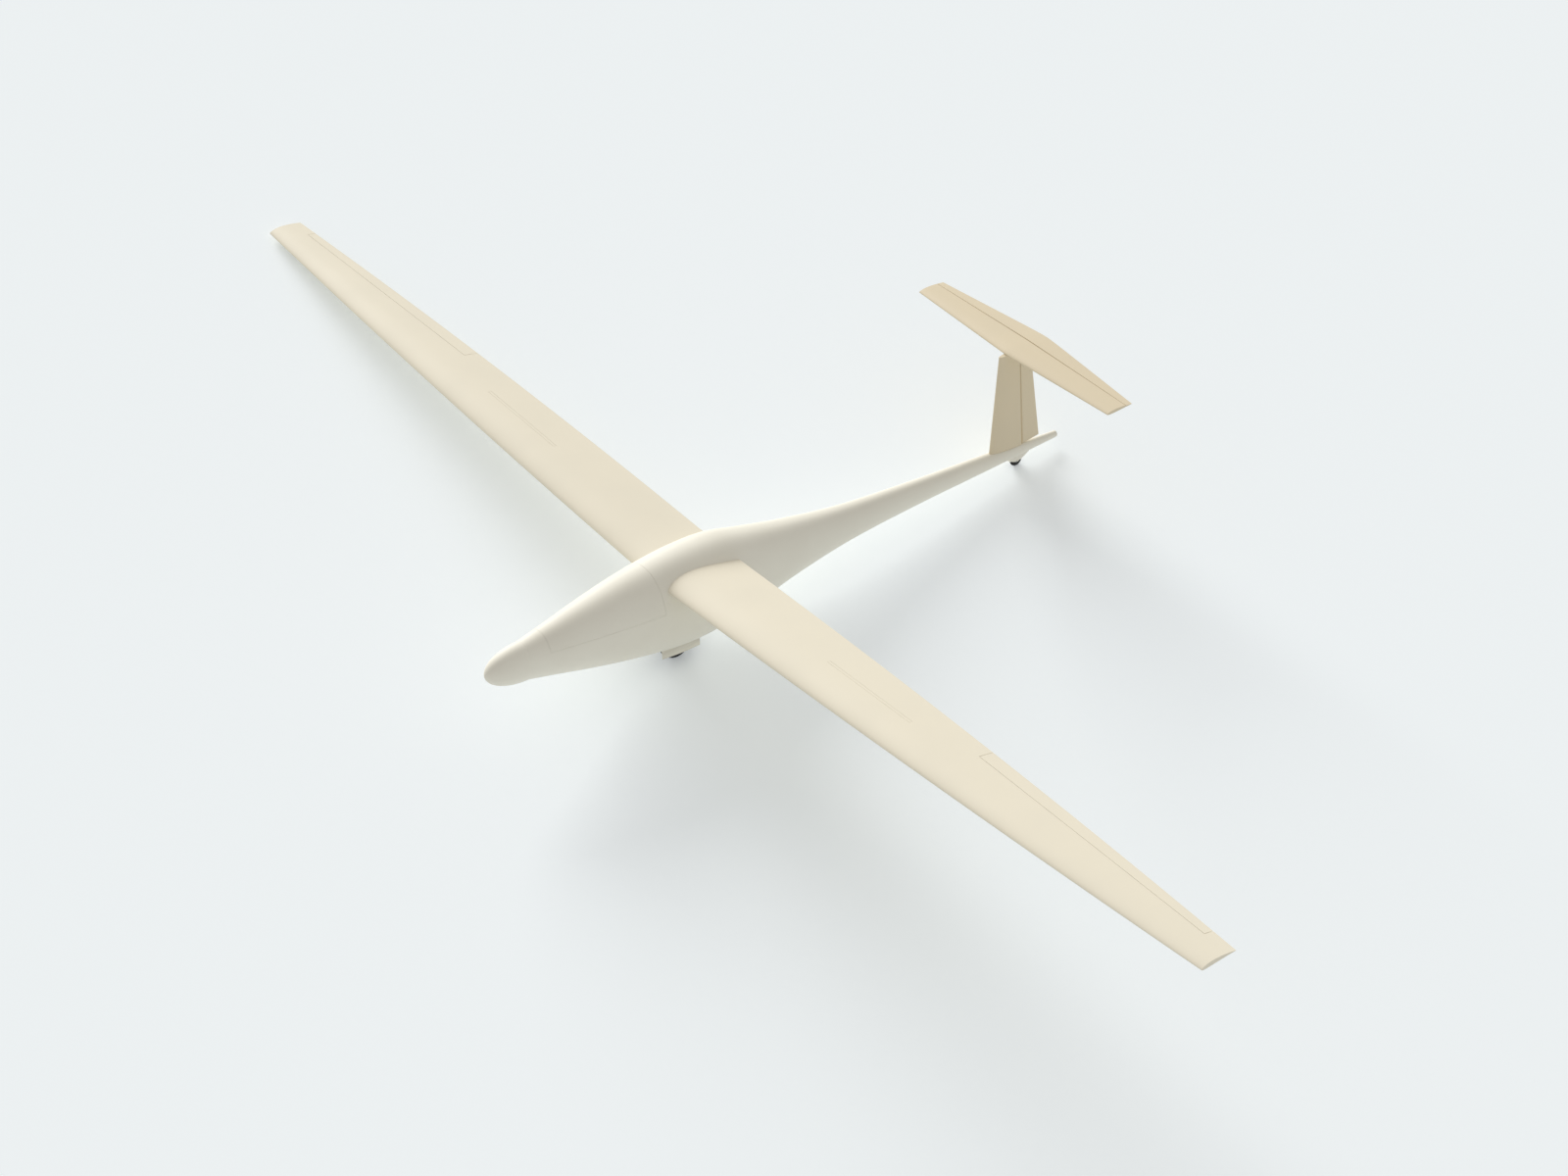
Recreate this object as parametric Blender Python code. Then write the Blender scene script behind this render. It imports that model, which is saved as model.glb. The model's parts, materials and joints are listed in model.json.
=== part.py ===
"""Single-seat sailplane: 15 m wing, T-tail, retractable main wheel, parked with one wing down.

The pieces are modelled in the airframe's own frame, in metres: the nose's tip is at Y = 0, +Y runs aft,
+X is the pilot's left and +Z is up, with the wings level. Every piece is a child of the empty named
airframe, which carries the attitude in which the aircraft rests on its two wheels and one wing tip.
"""
import math

import bmesh
import bpy
from mathutils import Matrix, Quaternion, Vector

for old in list(bpy.data.objects):
    bpy.data.objects.remove(old, do_unlink=True)

# Gaps and cutters
TOUCH = 0.0003              # between pieces that touch
SEAM = 0.005                # round every piece that moves
BEYOND = 0.6                # how far a cutter runs past the piece it shapes

# Fuselage: its offsets are half width, top and bottom at each distance behind the nose
WALL = 0.010
NOSE_LENGTH = 0.43
NOSE_HALF_WIDTH = 0.158
NOSE_HALF_HEIGHT = 0.207
NOSE_CENTRE_Z = -0.037
NOSE_STATION_DEG = (2, 12, 22, 32, 43, 54, 65, 76)
SECTION_FULLNESS = 2.15     # exponent of the section's superellipse, 2 is an ellipse
OFFSETS = (
    (0.43, 0.158, 0.170, -0.244),
    (0.75, 0.210, 0.232, -0.320),
    (1.10, 0.270, 0.305, -0.407),
    (1.50, 0.328, 0.377, -0.494),
    (1.90, 0.372, 0.428, -0.563),
    (2.30, 0.392, 0.454, -0.600),
    (2.70, 0.377, 0.437, -0.575),
    (3.10, 0.319, 0.339, -0.509),
    (3.60, 0.240, 0.223, -0.414),
    (4.30, 0.160, 0.098, -0.321),
    (5.20, 0.107, 0.011, -0.273),
    (6.20, 0.070, -0.063, -0.250),
    (7.17, 0.033, -0.148, -0.221),
)
BOOM_JOINT = 3.3            # the tail boom is a moulding of its own behind this
BOOM_END = OFFSETS[-1][0]
CAVITY_START = 0.42
CAVITY_END = 6.0            # the boom is solid behind this
BODY_SIDES = 48
CAVITY_SIDES = 32

# Cockpit hood and its hinge, on the pilot's right
SILL_Z = 0.06
HOOD_FRONT = 0.64
HOOD_REAR = 1.86
HOOD_HINGE_OUTSET = 0.026
HOOD_HINGES = (0.86, 1.64)
KNUCKLE_RADIUS = 0.008
KNUCKLE_LENGTH = 0.030
KNUCKLE_PLATE = 0.008       # thickness of the plate that joins a knuckle to the skin
KNUCKLE_PLATE_REACH = 0.040

# Wing
HALF_SPAN = 7.5
WING_ROOT_LE = 1.932
WING_ROOT_TE = 2.799
WING_TIP_LE = 2.119
WING_TIP_TE = 2.511
WING_LE_BOW = 0.159         # share of the edge's sweep that grows with the span squared
WING_TE_BOW = -0.261
WING_ROOT_Z = 0.251
WING_TIP_Z = 0.560
WING_THICKNESS = 0.13
WING_CAMBER = 0.04
WING_INNER = 0.15           # the section inside the fuselage, cut off by the body's skin
WING_STATIONS = 14
WING_STEPS = 14
AILERON_INNER = 4.2
AILERON_OUTER = 7.2
AILERON_HINGE = 0.76        # share of the chord
AILERON_DOWN_DEG = 22.0     # slope of the aileron's front face, past its largest travel down
HINGE_BEAD = 0.0047         # radius of the bead along a hinge line
BEAD_SIDES = 12

# Airbrake: an upright blade under a strip of the wing's skin
BRAKE_INNER = 2.25
BRAKE_OUTER = 3.45
BRAKE_Y = 2.36
BRAKE_DEPTH = 0.070
BRAKE_BLADE = 0.008
BRAKE_CAP = 0.030
BRAKE_CAP_DEPTH = 0.005
BRAKE_CAP_GAP = 0.010       # under the strip
BRAKE_OVERLAP = 0.001       # of the blade into the strip, where they are one piece

# Runner under the wing tip: depth below the skin at each distance behind the nose
SKID_INSET = 0.07
SKID_HALF_WIDTH = 0.016
SKID_DEPTHS = ((2.20, 0.012), (2.22, 0.035), (2.26, 0.050), (2.32, 0.050), (2.38, 0.030), (2.40, 0.012))
SKID_MIDDLE = 2.28
SKID_RISE = 0.02            # into the wing, which cuts it off
SKID_BEVEL = 0.6            # share of the depth down to the bevel along each lower edge

# Tail: an edge is Y and Z at its foot, then Y and Z at its head
FIN_BOTTOM_Z = -0.15
FIN_TOP_Z = 1.099
FIN_LE = (6.247, -0.063, 6.324, 1.099)
FIN_TE = (6.927, -0.099, 6.741, 1.090)
FIN_THICKNESS = 0.12
RUDDER_HINGE = 0.62         # share of the chord
RUDDER_BOTTOM_Z = 0.0
RUDDER_TOP_Z = 1.062
RUDDER_BEVEL_DEG = 33.0     # slope of the rudder's two front faces, past its travel
RUDDER_BODY_GAP = 0.008
TAIL_HALF_SPAN = 1.469
TAIL_Z = 1.095
TAIL_ROOT_LE = 6.403
TAIL_TIP_LE = 6.477
TAIL_ROOT_TE = 6.956
TAIL_TIP_TE = 6.798
TAIL_CENTRE_ROUND = 0.06    # share of the half span over which the trailing edge rounds at the middle
TAIL_THICKNESS = 0.11
TAIL_CAMBER = 0.02
TAIL_SHARES = (0.0, 0.07, 0.15, 0.3, 0.5, 0.75, 1.0)
TAIL_STEPS = 12
ELEVATOR_HINGE_Y = 6.72
ELEVATOR_HINGE_RISE = 0.008
ELEVATOR_BEVEL_DEG = 25.0

# Main wheel, its bay, legs and doors
WHEEL_Y = 2.20
WHEEL_Z = -0.63
TYRE_RADIUS = 0.18
TYRE_WIDTH = 0.125
TYRE_SHOULDER = 0.046       # half height of the tyre's round section
TYRE_BEAD = 0.040           # half width where it sits on the rim
RIM_RADIUS = 0.078
RIM_WELL = 0.068
HUB_HALF = 0.044
HUB_BARREL = 0.034
DISC_HALF = 0.018
DISC_INNER = 0.040
DISC_OUTER = 0.062
WHEEL_SIDES = 32
AXLE_RADIUS = 0.014
AXLE_SIDES = 24
AXLE_PAST_LEG = 0.012
LEG_X = 0.086
LEG_HALF = 0.007            # half the plate's thickness
LEG_FOOT_DROP = 0.026
LEG_FOOT = 0.022            # half widths of the plate at its foot, waist and top
LEG_WAIST = 0.030
LEG_WAIST_RISE = 0.020
LEG_TOP = 0.026
BAY_FRONT = 1.965
BAY_REAR = 2.435
BAY_HALF_WIDTH = 0.1125
BAY_TOP = -0.28
BAY_WALL = 0.006
DOOR_OPEN_DEG = 92.0
DOOR_THICKNESS = 0.008
DOOR_MEET = 0.003           # from the middle line to the door's inner edge when shut
DOOR_ROD = 0.0037
DOOR_EDGE = 0.003           # from the rod's middle to the door's outer edge when shut, which is above it

# Tail wheel and its fork: half width and lowest height at each distance behind the nose
TAIL_WHEEL_Y = 6.62
TAIL_WHEEL_Z = -0.285
TAIL_TYRE_RADIUS = 0.075
TAIL_TYRE_WIDTH = 0.042
TAIL_RIM_RADIUS = 0.032
TAIL_AXLE_RADIUS = 0.006
TAIL_AXLE_HALF = 0.034
TAIL_TYRE_OUTLINE = ((-0.015, TAIL_RIM_RADIUS), (-0.021, 0.045), (-0.021, 0.058), (-0.012, 0.071),
                     (0.0, TAIL_TYRE_RADIUS))
TAIL_HUB_OUTLINE = ((-0.018, TAIL_AXLE_RADIUS + TOUCH), (-0.018, 0.014), (-0.010, 0.016),
                    (-0.015, TAIL_RIM_RADIUS - TOUCH))
TAIL_WHEEL_SIDES = 24
FORK_STATIONS = ((6.50, 0.012, -0.255), (6.54, 0.030, -0.285), (6.58, 0.036, -0.302), (6.66, 0.036, -0.302),
                 (6.72, 0.030, -0.280), (6.80, 0.010, -0.245))
FORK_TOP_Z = -0.19
FORK_CHAMFER = 0.012
FORK_FLAT = 0.6             # share of the half width that is flat underneath

# Tow hook on the belly, ahead of the wheel
HOOK_Y = 1.78
HOOK_HALF_WIDTH = 0.018
HOOK_HALF_LENGTH = 0.045
HOOK_DROP = 0.030

# Cockpit: profiles are Y and Z down the middle
BULKHEAD_Y = 1.900
BULKHEAD_THICKNESS = 0.012
PAN = ((1.00, -0.16), (1.06, -0.19), (1.20, -0.26), (1.36, -0.325), (1.48, -0.345), (1.56, -0.325))
PAN_THICKNESS = 0.006
BACK = ((1.545, -0.335), (1.66, -0.17), (1.75, -0.03), (1.84, 0.11), (1.93, 0.245))
BACK_THICKNESS = 0.008
BACK_HALF_WIDTH = 0.20
CUSHION_THICKNESS = 0.04
CUSHION_STOCK = 0.06        # before the seat under it cuts it off
SEAT_CUSHION_HALF = 0.19
BACK_CUSHION_HALF = 0.18
HEADREST_LOW = (-0.07, 1.845, 0.225)
HEADREST_HIGH = (0.07, BULKHEAD_Y - TOUCH, 0.33)
PANEL_FRONT = 0.86
PANEL_REAR = 0.90
PANEL_HALF = ((0.05, -0.06), (0.14, -0.03), (0.14, 0.10), (0.10, 0.15))
PEDESTAL_LOW = (-0.05, 0.80, -0.45)
PEDESTAL_HIGH = (0.05, 0.89, 0.0)
STICK_FOOT = (0, 1.13, -0.26)
STICK_HEAD = (0, 1.10, -0.02)
STICK_RADIUS = 0.011
GRIP_FOOT = (0, 1.103, -0.04)
GRIP_HEAD = (0, 1.088, 0.06)
GRIP_RADIUS = 0.017
PEDAL_Y = 0.66
PEDAL_Z = -0.19
PEDAL_X = 0.08
PEDAL_HALF = 0.035
PEDAL_OUTLINE = ((-0.012, -0.03), (0.002, -0.03), (-0.03, 0.14), (-0.044, 0.14))
PEDAL_BAR = 0.010
LEVER_X = 0.235
LEVER_RADIUS = 0.008
KNOB_RADIUS = 0.015
KNOB_AHEAD = 0.03
KNOB_BEHIND = 0.06
LEVER_ARM = 0.02            # the arm's place ahead of the rod's end, and its reach into the wall
LEVERS = ((1, "airbrake_lever", 1.10, 1.40, -0.10), (-1, "gear_lever", 1.12, 1.34, -0.14))

COLOURS = {
    "body": (0.80, 0.79, 0.71, 0.30, 0.0),
    "wing": (0.80, 0.76, 0.64, 0.35, 0.0),
    "tail": (0.72, 0.62, 0.44, 0.35, 0.0),
    "lining": (0.30, 0.31, 0.32, 0.80, 0.0),
    "cushion": (0.10, 0.13, 0.20, 0.90, 0.0),
    "panel": (0.04, 0.04, 0.045, 0.55, 0.0),
    "steel": (0.55, 0.56, 0.58, 0.35, 1.0),
    "rubber": (0.03, 0.03, 0.03, 0.85, 0.0),
    "skid": (0.12, 0.12, 0.12, 0.70, 0.0),
}
SIDES = ((1, "left"), (-1, "right"))


def make_material(name, red, green, blue, roughness, metallic):
    material = bpy.data.materials.new(name)
    material.use_nodes = True
    shader = material.node_tree.nodes["Principled BSDF"]
    shader.inputs["Base Color"].default_value = (red, green, blue, 1.0)
    shader.inputs["Roughness"].default_value = roughness
    shader.inputs["Metallic"].default_value = metallic
    return material


MATERIALS = {name: make_material(name, *values) for name, values in COLOURS.items()}

airframe = bpy.data.objects.new("airframe", None)
bpy.context.collection.objects.link(airframe)


def add_object(name, bm, material=None, origin=(0, 0, 0)):
    """Turns a bmesh into a named object with its origin there; without a material it is a cutter."""
    bmesh.ops.recalc_face_normals(bm, faces=bm.faces)
    bmesh.ops.translate(bm, verts=bm.verts, vec=-Vector(origin))
    mesh = bpy.data.meshes.new(name)
    bm.to_mesh(mesh)
    bm.free()
    piece = bpy.data.objects.new(name, mesh)
    piece.parent = airframe
    piece.location = origin
    bpy.context.collection.objects.link(piece)
    if material:
        mesh.materials.append(MATERIALS[material])
        mesh.shade_smooth()
        mesh.set_sharp_from_angle(angle=math.radians(30))
    else:
        piece.hide_render = True
        piece.display_type = "WIRE"
    return piece


def boolean(piece, operation, *others):
    for other in others:
        modifier = piece.modifiers.new(operation.lower() + "_" + other.name, "BOOLEAN")
        modifier.operation = operation
        modifier.solver = "EXACT"
        modifier.object = other
    return piece


def cut(piece, *cutters):
    return boolean(piece, "DIFFERENCE", *cutters)


def keep_inside(piece, *regions):
    return boolean(piece, "INTERSECT", *regions)


def fuse(piece, *others):
    return boolean(piece, "UNION", *others)


def loft(rings):
    """A closed skin through rings of points, with a flat face on each end."""
    bm = bmesh.new()
    loops = []
    for ring in rings:
        verts = [bm.verts.new(point) for point in ring]
        loops.append([bm.edges.new((a, b)) for a, b in zip(verts, verts[1:] + verts[:1])])
    for front, back in zip(loops, loops[1:]):
        bmesh.ops.bridge_loops(bm, edges=front + back)
    for end in (loops[0], loops[-1]):
        bmesh.ops.edgeloop_fill(bm, edges=end)
    return bm


def box(low, high):
    low, high = Vector(low), Vector(high)
    bm = bmesh.new()
    bmesh.ops.create_cube(bm, size=1.0, matrix=Matrix.Translation((low + high) / 2)
                          @ Matrix.Diagonal((*(high - low), 1.0)))
    return bm


def rod(start, end, radius, sides=16):
    start, end = Vector(start), Vector(end)
    along = end - start
    turn = along.to_track_quat("Z", "Y").to_matrix().to_4x4()
    bm = bmesh.new()
    bmesh.ops.create_cone(bm, cap_ends=True, segments=sides, radius1=radius, radius2=radius,
                          depth=along.length, matrix=Matrix.Translation((start + end) / 2) @ turn)
    return bm


def cross_rod(half, y, z, radius, sides):
    """A rod across the airframe, as long on one side of the middle as on the other."""
    return rod((-half, y, z), (half, y, z), radius, sides)


def extrusion(ends, outline, plane):
    """An outline, in the plane's two axes, set at each end point and joined along them."""
    first, second = ("XYZ".index(axis) for axis in plane)
    rings = []
    for end in ends:
        ring = []
        for a, b in outline:
            point = Vector(end)
            point[first] += a
            point[second] += b
            ring.append(point)
        rings.append(ring)
    return loft(rings)


def turned(profile, centre, sides):
    """A profile of (X, radius) points spun about the X axis through the centre."""
    centre = Vector(centre)
    bm = bmesh.new()
    verts = [bm.verts.new(centre + Vector((x, 0, radius))) for x, radius in profile]
    edges = [bm.edges.new((a, b)) for a, b in zip(verts, verts[1:] + verts[:1])]
    bmesh.ops.spin(bm, geom=verts + edges, cent=centre, axis=(1, 0, 0), angle=math.tau, steps=sides,
                   use_merge=True)
    return bm


def both_sides(half_profile):
    """A turned profile from its half at -X, mirrored; a point on the middle isn't repeated."""
    return list(half_profile) + [(-x, radius) for x, radius in reversed(half_profile) if x]


def spread(start, end, count):
    return [start + (end - start) * i / (count - 1) for i in range(count)]


def mirrored(point, side):
    return Vector((side * point[0], point[1], point[2]))


# Fuselage shape
def offsets_at(y):
    """Half width, top and bottom on a smooth curve through the table."""
    rows = OFFSETS
    index = max(i for i in range(len(rows) - 1) if rows[i][0] <= max(y, rows[0][0]))
    low, high = rows[index], rows[index + 1]
    before, after = rows[max(index - 1, 0)], rows[min(index + 2, len(rows) - 1)]
    step = high[0] - low[0]
    t = (y - low[0]) / step
    values = []
    for column in (1, 2, 3):
        slope_low = (high[column] - before[column]) / (high[0] - before[0]) * step
        slope_high = (after[column] - low[column]) / (after[0] - low[0]) * step
        values.append((2 * t ** 3 - 3 * t ** 2 + 1) * low[column] + (t ** 3 - 2 * t ** 2 + t) * slope_low
                      + (3 * t ** 2 - 2 * t ** 3) * high[column] + (t ** 3 - t ** 2) * slope_high)
    return values


def body_section(y):
    """Half width, centre height and half height of the body at a distance behind the nose."""
    if y < NOSE_LENGTH:
        share = math.sqrt(max(1 - ((NOSE_LENGTH - y) / NOSE_LENGTH) ** 2, 0.0))
        return NOSE_HALF_WIDTH * share, NOSE_CENTRE_Z, NOSE_HALF_HEIGHT * share
    half_width, top, bottom = offsets_at(min(y, BOOM_END))
    return half_width, (top + bottom) / 2, (top - bottom) / 2


def body_ring(y, grow=0.0, sides=BODY_SIDES, at=None):
    """Points round the body's section at y, grown by a distance; at puts them at another place."""
    half_width, centre_z, half_height = body_section(y)
    ring = []
    for i in range(sides):
        across, up = math.cos(math.tau * i / sides), math.sin(math.tau * i / sides)
        x = (half_width + grow) * math.copysign(abs(across) ** (2 / SECTION_FULLNESS), across)
        z = (half_height + grow) * math.copysign(abs(up) ** (2 / SECTION_FULLNESS), up)
        ring.append((x, y if at is None else at, centre_z + z))
    return ring


def body_half_width(y, z):
    half_width, centre_z, half_height = body_section(y)
    return half_width * (1 - abs((z - centre_z) / half_height) ** SECTION_FULLNESS) ** (1 / SECTION_FULLNESS)


def body_bottom(y, x):
    half_width, centre_z, half_height = body_section(y)
    return centre_z - half_height * (1 - abs(x / half_width) ** SECTION_FULLNESS) ** (1 / SECTION_FULLNESS)


BODY_STATIONS = spread(NOSE_LENGTH, BOOM_JOINT, 19) + spread(3.46, 5.0, 8) + spread(5.3, BOOM_END, 6)


def body_loft(grow, start=NOSE_LENGTH, end=BOOM_END, sides=BODY_SIDES):
    stations = [y for y in BODY_STATIONS if start < y < end]
    return loft([body_ring(y, grow, sides) for y in [start] + stations + [end]])


# Wing and tail shapes
def airfoil(thickness, camber, chordwise):
    """Upper and lower height at a share of the chord: the four-digit section, crest of camber at 40%."""
    half = 5 * thickness * (0.2969 * math.sqrt(chordwise) - 0.1260 * chordwise - 0.3516 * chordwise ** 2
                            + 0.2843 * chordwise ** 3 - 0.1015 * chordwise ** 4)
    crest = 0.4
    if chordwise < crest:
        middle = camber / crest ** 2 * (2 * crest * chordwise - chordwise ** 2)
    else:
        middle = camber / (1 - crest) ** 2 * ((1 - 2 * crest) + 2 * crest * chordwise - chordwise ** 2)
    return middle + half, middle - half


def airfoil_ring(lead, chord, thickness, camber, steps, place):
    """Points round an airfoil; place turns (distance aft, height) into a point."""
    shares = [(1 - math.cos(math.pi * i / steps)) / 2 for i in range(steps + 1)]
    upper = [place(lead + chord * u, chord * airfoil(thickness, camber, u)[0]) for u in reversed(shares)]
    lower = [place(lead + chord * u, chord * airfoil(thickness, camber, u)[1]) for u in shares[1:]]
    return upper + lower


def bowed(root, tip, bow, share):
    return root + (tip - root - bow) * share + bow * share ** 2


def wing_lead(x):
    return bowed(WING_ROOT_LE, WING_TIP_LE, WING_LE_BOW, abs(x) / HALF_SPAN)


def wing_chord(x):
    return bowed(WING_ROOT_TE, WING_TIP_TE, WING_TE_BOW, abs(x) / HALF_SPAN) - wing_lead(x)


def wing_z(x):
    return WING_ROOT_Z + (WING_TIP_Z - WING_ROOT_Z) * abs(x) / HALF_SPAN


def wing_skin_heights(x, y):
    """Height of the wing's upper and lower skin."""
    share = (y - wing_lead(x)) / wing_chord(x)
    return [wing_z(x) + wing_chord(x) * height for height in airfoil(WING_THICKNESS, WING_CAMBER, share)]


def wing_loft(side, drop=0.0):
    rings = []
    for x in spread(WING_INNER, HALF_SPAN, WING_STATIONS):
        rings.append(airfoil_ring(wing_lead(x), wing_chord(x), WING_THICKNESS, WING_CAMBER, WING_STEPS,
                                  lambda y, z, x=x: (side * x, y, wing_z(x) - drop + z)))
    return loft(rings)


def tail_loft(grow=0.0):
    rings = []
    for share in [-share for share in TAIL_SHARES[:0:-1]] + list(TAIL_SHARES):
        rounded = math.hypot(share, TAIL_CENTRE_ROUND) - TAIL_CENTRE_ROUND
        lead = TAIL_ROOT_LE + (TAIL_TIP_LE - TAIL_ROOT_LE) * abs(share)
        chord = TAIL_ROOT_TE + (TAIL_TIP_TE - TAIL_ROOT_TE) * rounded - lead
        thickness = TAIL_THICKNESS + 2 * grow / chord
        rings.append(airfoil_ring(lead - grow, chord + 2 * grow, thickness, TAIL_CAMBER, TAIL_STEPS,
                                  lambda y, z, s=share: (s * TAIL_HALF_SPAN, y, TAIL_Z + z)))
    return loft(rings)


def fin_edge(edge, z):
    y_low, z_low, y_high, z_high = edge
    return y_low + (y_high - y_low) * (z - z_low) / (z_high - z_low)


def fin_loft():
    rings = []
    for z in spread(FIN_BOTTOM_Z, FIN_TOP_Z, 4):
        lead = fin_edge(FIN_LE, z)
        chord = fin_edge(FIN_TE, z) - lead
        rings.append(airfoil_ring(lead, chord, FIN_THICKNESS, 0.0, TAIL_STEPS, lambda y, x, z=z: (x, y, z)))
    return loft(rings)


# Fuselage shell, tail boom, nose cap and cockpit hood
cavity = add_object("cavity", body_loft(-WALL, CAVITY_START, CAVITY_END, CAVITY_SIDES))
cavity_fit = add_object("cavity_fit", body_loft(-WALL - TOUCH, CAVITY_START, CAVITY_END, CAVITY_SIDES))


def hood_region(inset):
    outline = [(HOOD_FRONT + inset, SILL_Z + inset), (HOOD_REAR - inset, SILL_Z + inset),
               (HOOD_REAR - inset, BEYOND), (HOOD_FRONT + inset, BEYOND)]
    return extrusion([(-BEYOND, 0, 0), (BEYOND, 0, 0)], outline, "YZ")


hood_hole = add_object("hood_hole", hood_region(0.0))
hood_limits = add_object("hood_limits", hood_region(SEAM))
belly_z = WHEEL_Z - TYRE_RADIUS
bay_hole = add_object("bay_hole", box((-BAY_HALF_WIDTH, BAY_FRONT, belly_z),
                                      (BAY_HALF_WIDTH, BAY_REAR, BAY_TOP)))


def hood_hinge(y):
    """The hinge line runs straight past the sill, clear of the body's curve."""
    front, rear = body_half_width(HOOD_FRONT, SILL_Z), body_half_width(HOOD_REAR, SILL_Z)
    share = (y - HOOD_FRONT) / (HOOD_REAR - HOOD_FRONT)
    return Vector((-(front + (rear - front) * share + HOOD_HINGE_OUTSET), y, SILL_Z))


def hood_knuckle(name, y, start, end, plate_z):
    """A round knuckle on the hinge line, with a plate at that height which runs into the skin."""
    barrel = add_object(name, rod(hood_hinge(y + start), hood_hinge(y + end), KNUCKLE_RADIUS))
    x, half = hood_hinge(y).x, KNUCKLE_PLATE / 2
    plate = add_object(name + "_plate", box((x - half, y + start + half, plate_z - half),
                                            (x + KNUCKLE_PLATE_REACH, y + end - half, plate_z + half)))
    return [barrel, plate]


shell = add_object("fuselage_shell", body_loft(0.0, end=BOOM_JOINT), "body")
cut(shell, cavity, hood_hole, bay_hole)
boom = add_object("tail_boom", body_loft(0.0, start=BOOM_JOINT + TOUCH), "body")
cut(boom, cavity)
hood = add_object("cockpit_hood", body_loft(0.0, HOOD_FRONT - WALL, HOOD_REAR + WALL), "body",
                  hood_hinge(HOOD_HINGES[0]))
cut(hood, cavity)
keep_inside(hood, hood_limits)
for number, hinge_y in enumerate(HOOD_HINGES):
    fuse(shell, *hood_knuckle(f"shell_knuckle_{number}", hinge_y, -KNUCKLE_LENGTH, -TOUCH / 2,
                              SILL_Z - KNUCKLE_RADIUS))
    fuse(hood, *hood_knuckle(f"hood_knuckle_{number}", hinge_y, TOUCH / 2, KNUCKLE_LENGTH,
                             SILL_Z + SEAM / 2 + KNUCKLE_RADIUS))

nose_stations = [NOSE_LENGTH * (1 - math.cos(math.radians(degrees))) for degrees in NOSE_STATION_DEG]
nose = add_object("nose_cap", loft([body_ring(y) for y in nose_stations]
                                   + [body_ring(NOSE_LENGTH, at=NOSE_LENGTH - TOUCH)]), "body")
nose_hollow = add_object("nose_hollow", loft([body_ring(y, -WALL, CAVITY_SIDES) for y in nose_stations[2:]]
                                             + [body_ring(NOSE_LENGTH, -WALL, CAVITY_SIDES)]))
cut(nose, nose_hollow)

# Wings, ailerons, airbrakes and tip skids
body_skin = add_object("body_skin", body_loft(TOUCH))


def aileron_hinge(x):
    y = wing_lead(x) + AILERON_HINGE * wing_chord(x)
    return Vector((x, y, wing_skin_heights(x, y)[0] - SEAM))


def strip(half, bottom, top):
    """The section of a blade or its slot, across the wing."""
    return [(-half, bottom), (-half, top), (half, top), (half, bottom)]


for side, label in SIDES:
    wing = add_object("wing_" + label, wing_loft(side), "wing")
    hinge_ends = [mirrored(aileron_hinge(x), side) for x in (AILERON_INNER, AILERON_OUTER)]
    slot_ends = [mirrored(aileron_hinge(x), side) for x in (AILERON_INNER - SEAM, AILERON_OUTER + SEAM)]
    slope = math.tan(math.radians(AILERON_DOWN_DEG))
    slot = add_object("aileron_slot_" + label, extrusion(
        slot_ends, [(0, -BEYOND), (0, BEYOND), (BEYOND, BEYOND), (BEYOND, -BEYOND)], "YZ"))
    limits = add_object("aileron_limits_" + label, extrusion(
        hinge_ends, [(SEAM, BEYOND), (SEAM, 0), (SEAM + BEYOND * slope, -BEYOND), (BEYOND, -BEYOND),
                     (BEYOND, BEYOND)], "YZ"))
    bead = add_object("aileron_bead_" + label, rod(*hinge_ends, HINGE_BEAD, BEAD_SIDES))
    cut(wing, body_skin, slot)
    fuse(wing, bead)
    aileron = add_object("aileron_" + label, wing_loft(side), "wing", hinge_ends[0])
    keep_inside(aileron, limits)

    # The airbrake is a blade under a strip of the wing's own skin
    ends = []
    for x in (BRAKE_INNER, BRAKE_OUTER):
        ends.append(mirrored((x, BRAKE_Y, wing_skin_heights(x, BRAKE_Y)[0]), side))
    half_cap, half_blade = BRAKE_CAP / 2, BRAKE_BLADE / 2
    cap_slot = add_object("brake_cap_slot_" + label, extrusion(
        ends, strip(half_cap + SEAM, -BRAKE_CAP_DEPTH - BRAKE_CAP_GAP, BEYOND), "YZ"))
    blade_slot = add_object("brake_blade_slot_" + label, extrusion(
        ends, strip(half_blade + SEAM, -BRAKE_DEPTH - SEAM, 0), "YZ"))
    cut(wing, cap_slot, blade_slot)
    end_gap = Vector((side * TOUCH, 0, 0))
    ends = [ends[0] + end_gap, ends[1] - end_gap]
    cap_limits = add_object("brake_cap_limits_" + label, extrusion(
        ends, strip(half_cap, -BRAKE_CAP_DEPTH, BEYOND), "YZ"))
    blade = add_object("brake_blade_" + label, extrusion(
        ends, strip(half_blade, -BRAKE_DEPTH, BRAKE_OVERLAP - BRAKE_CAP_DEPTH), "YZ"))
    brake = add_object("airbrake_" + label, wing_loft(side), "wing", ends[0])
    keep_inside(brake, cap_limits)
    fuse(brake, blade)

    # The skid under the tip is a short moulded runner
    skid_x = HALF_SPAN - SKID_INSET
    skid_top = wing_skin_heights(skid_x, SKID_MIDDLE)[1]
    skid_rings = []
    for y, depth in SKID_DEPTHS:
        half_ring = ((1, SKID_RISE), (1, -SKID_BEVEL * depth), (0.5, -depth))
        ring = list(half_ring) + [(-share, height) for share, height in reversed(half_ring)]
        skid_rings.append([(side * skid_x + share * SKID_HALF_WIDTH, y, skid_top + height)
                           for share, height in ring])
    skid = add_object("tip_skid_" + label, loft(skid_rings), "skid")
    wing_skin = add_object("wing_skin_" + label, wing_loft(side, drop=TOUCH))
    cut(skid, wing_skin)


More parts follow.
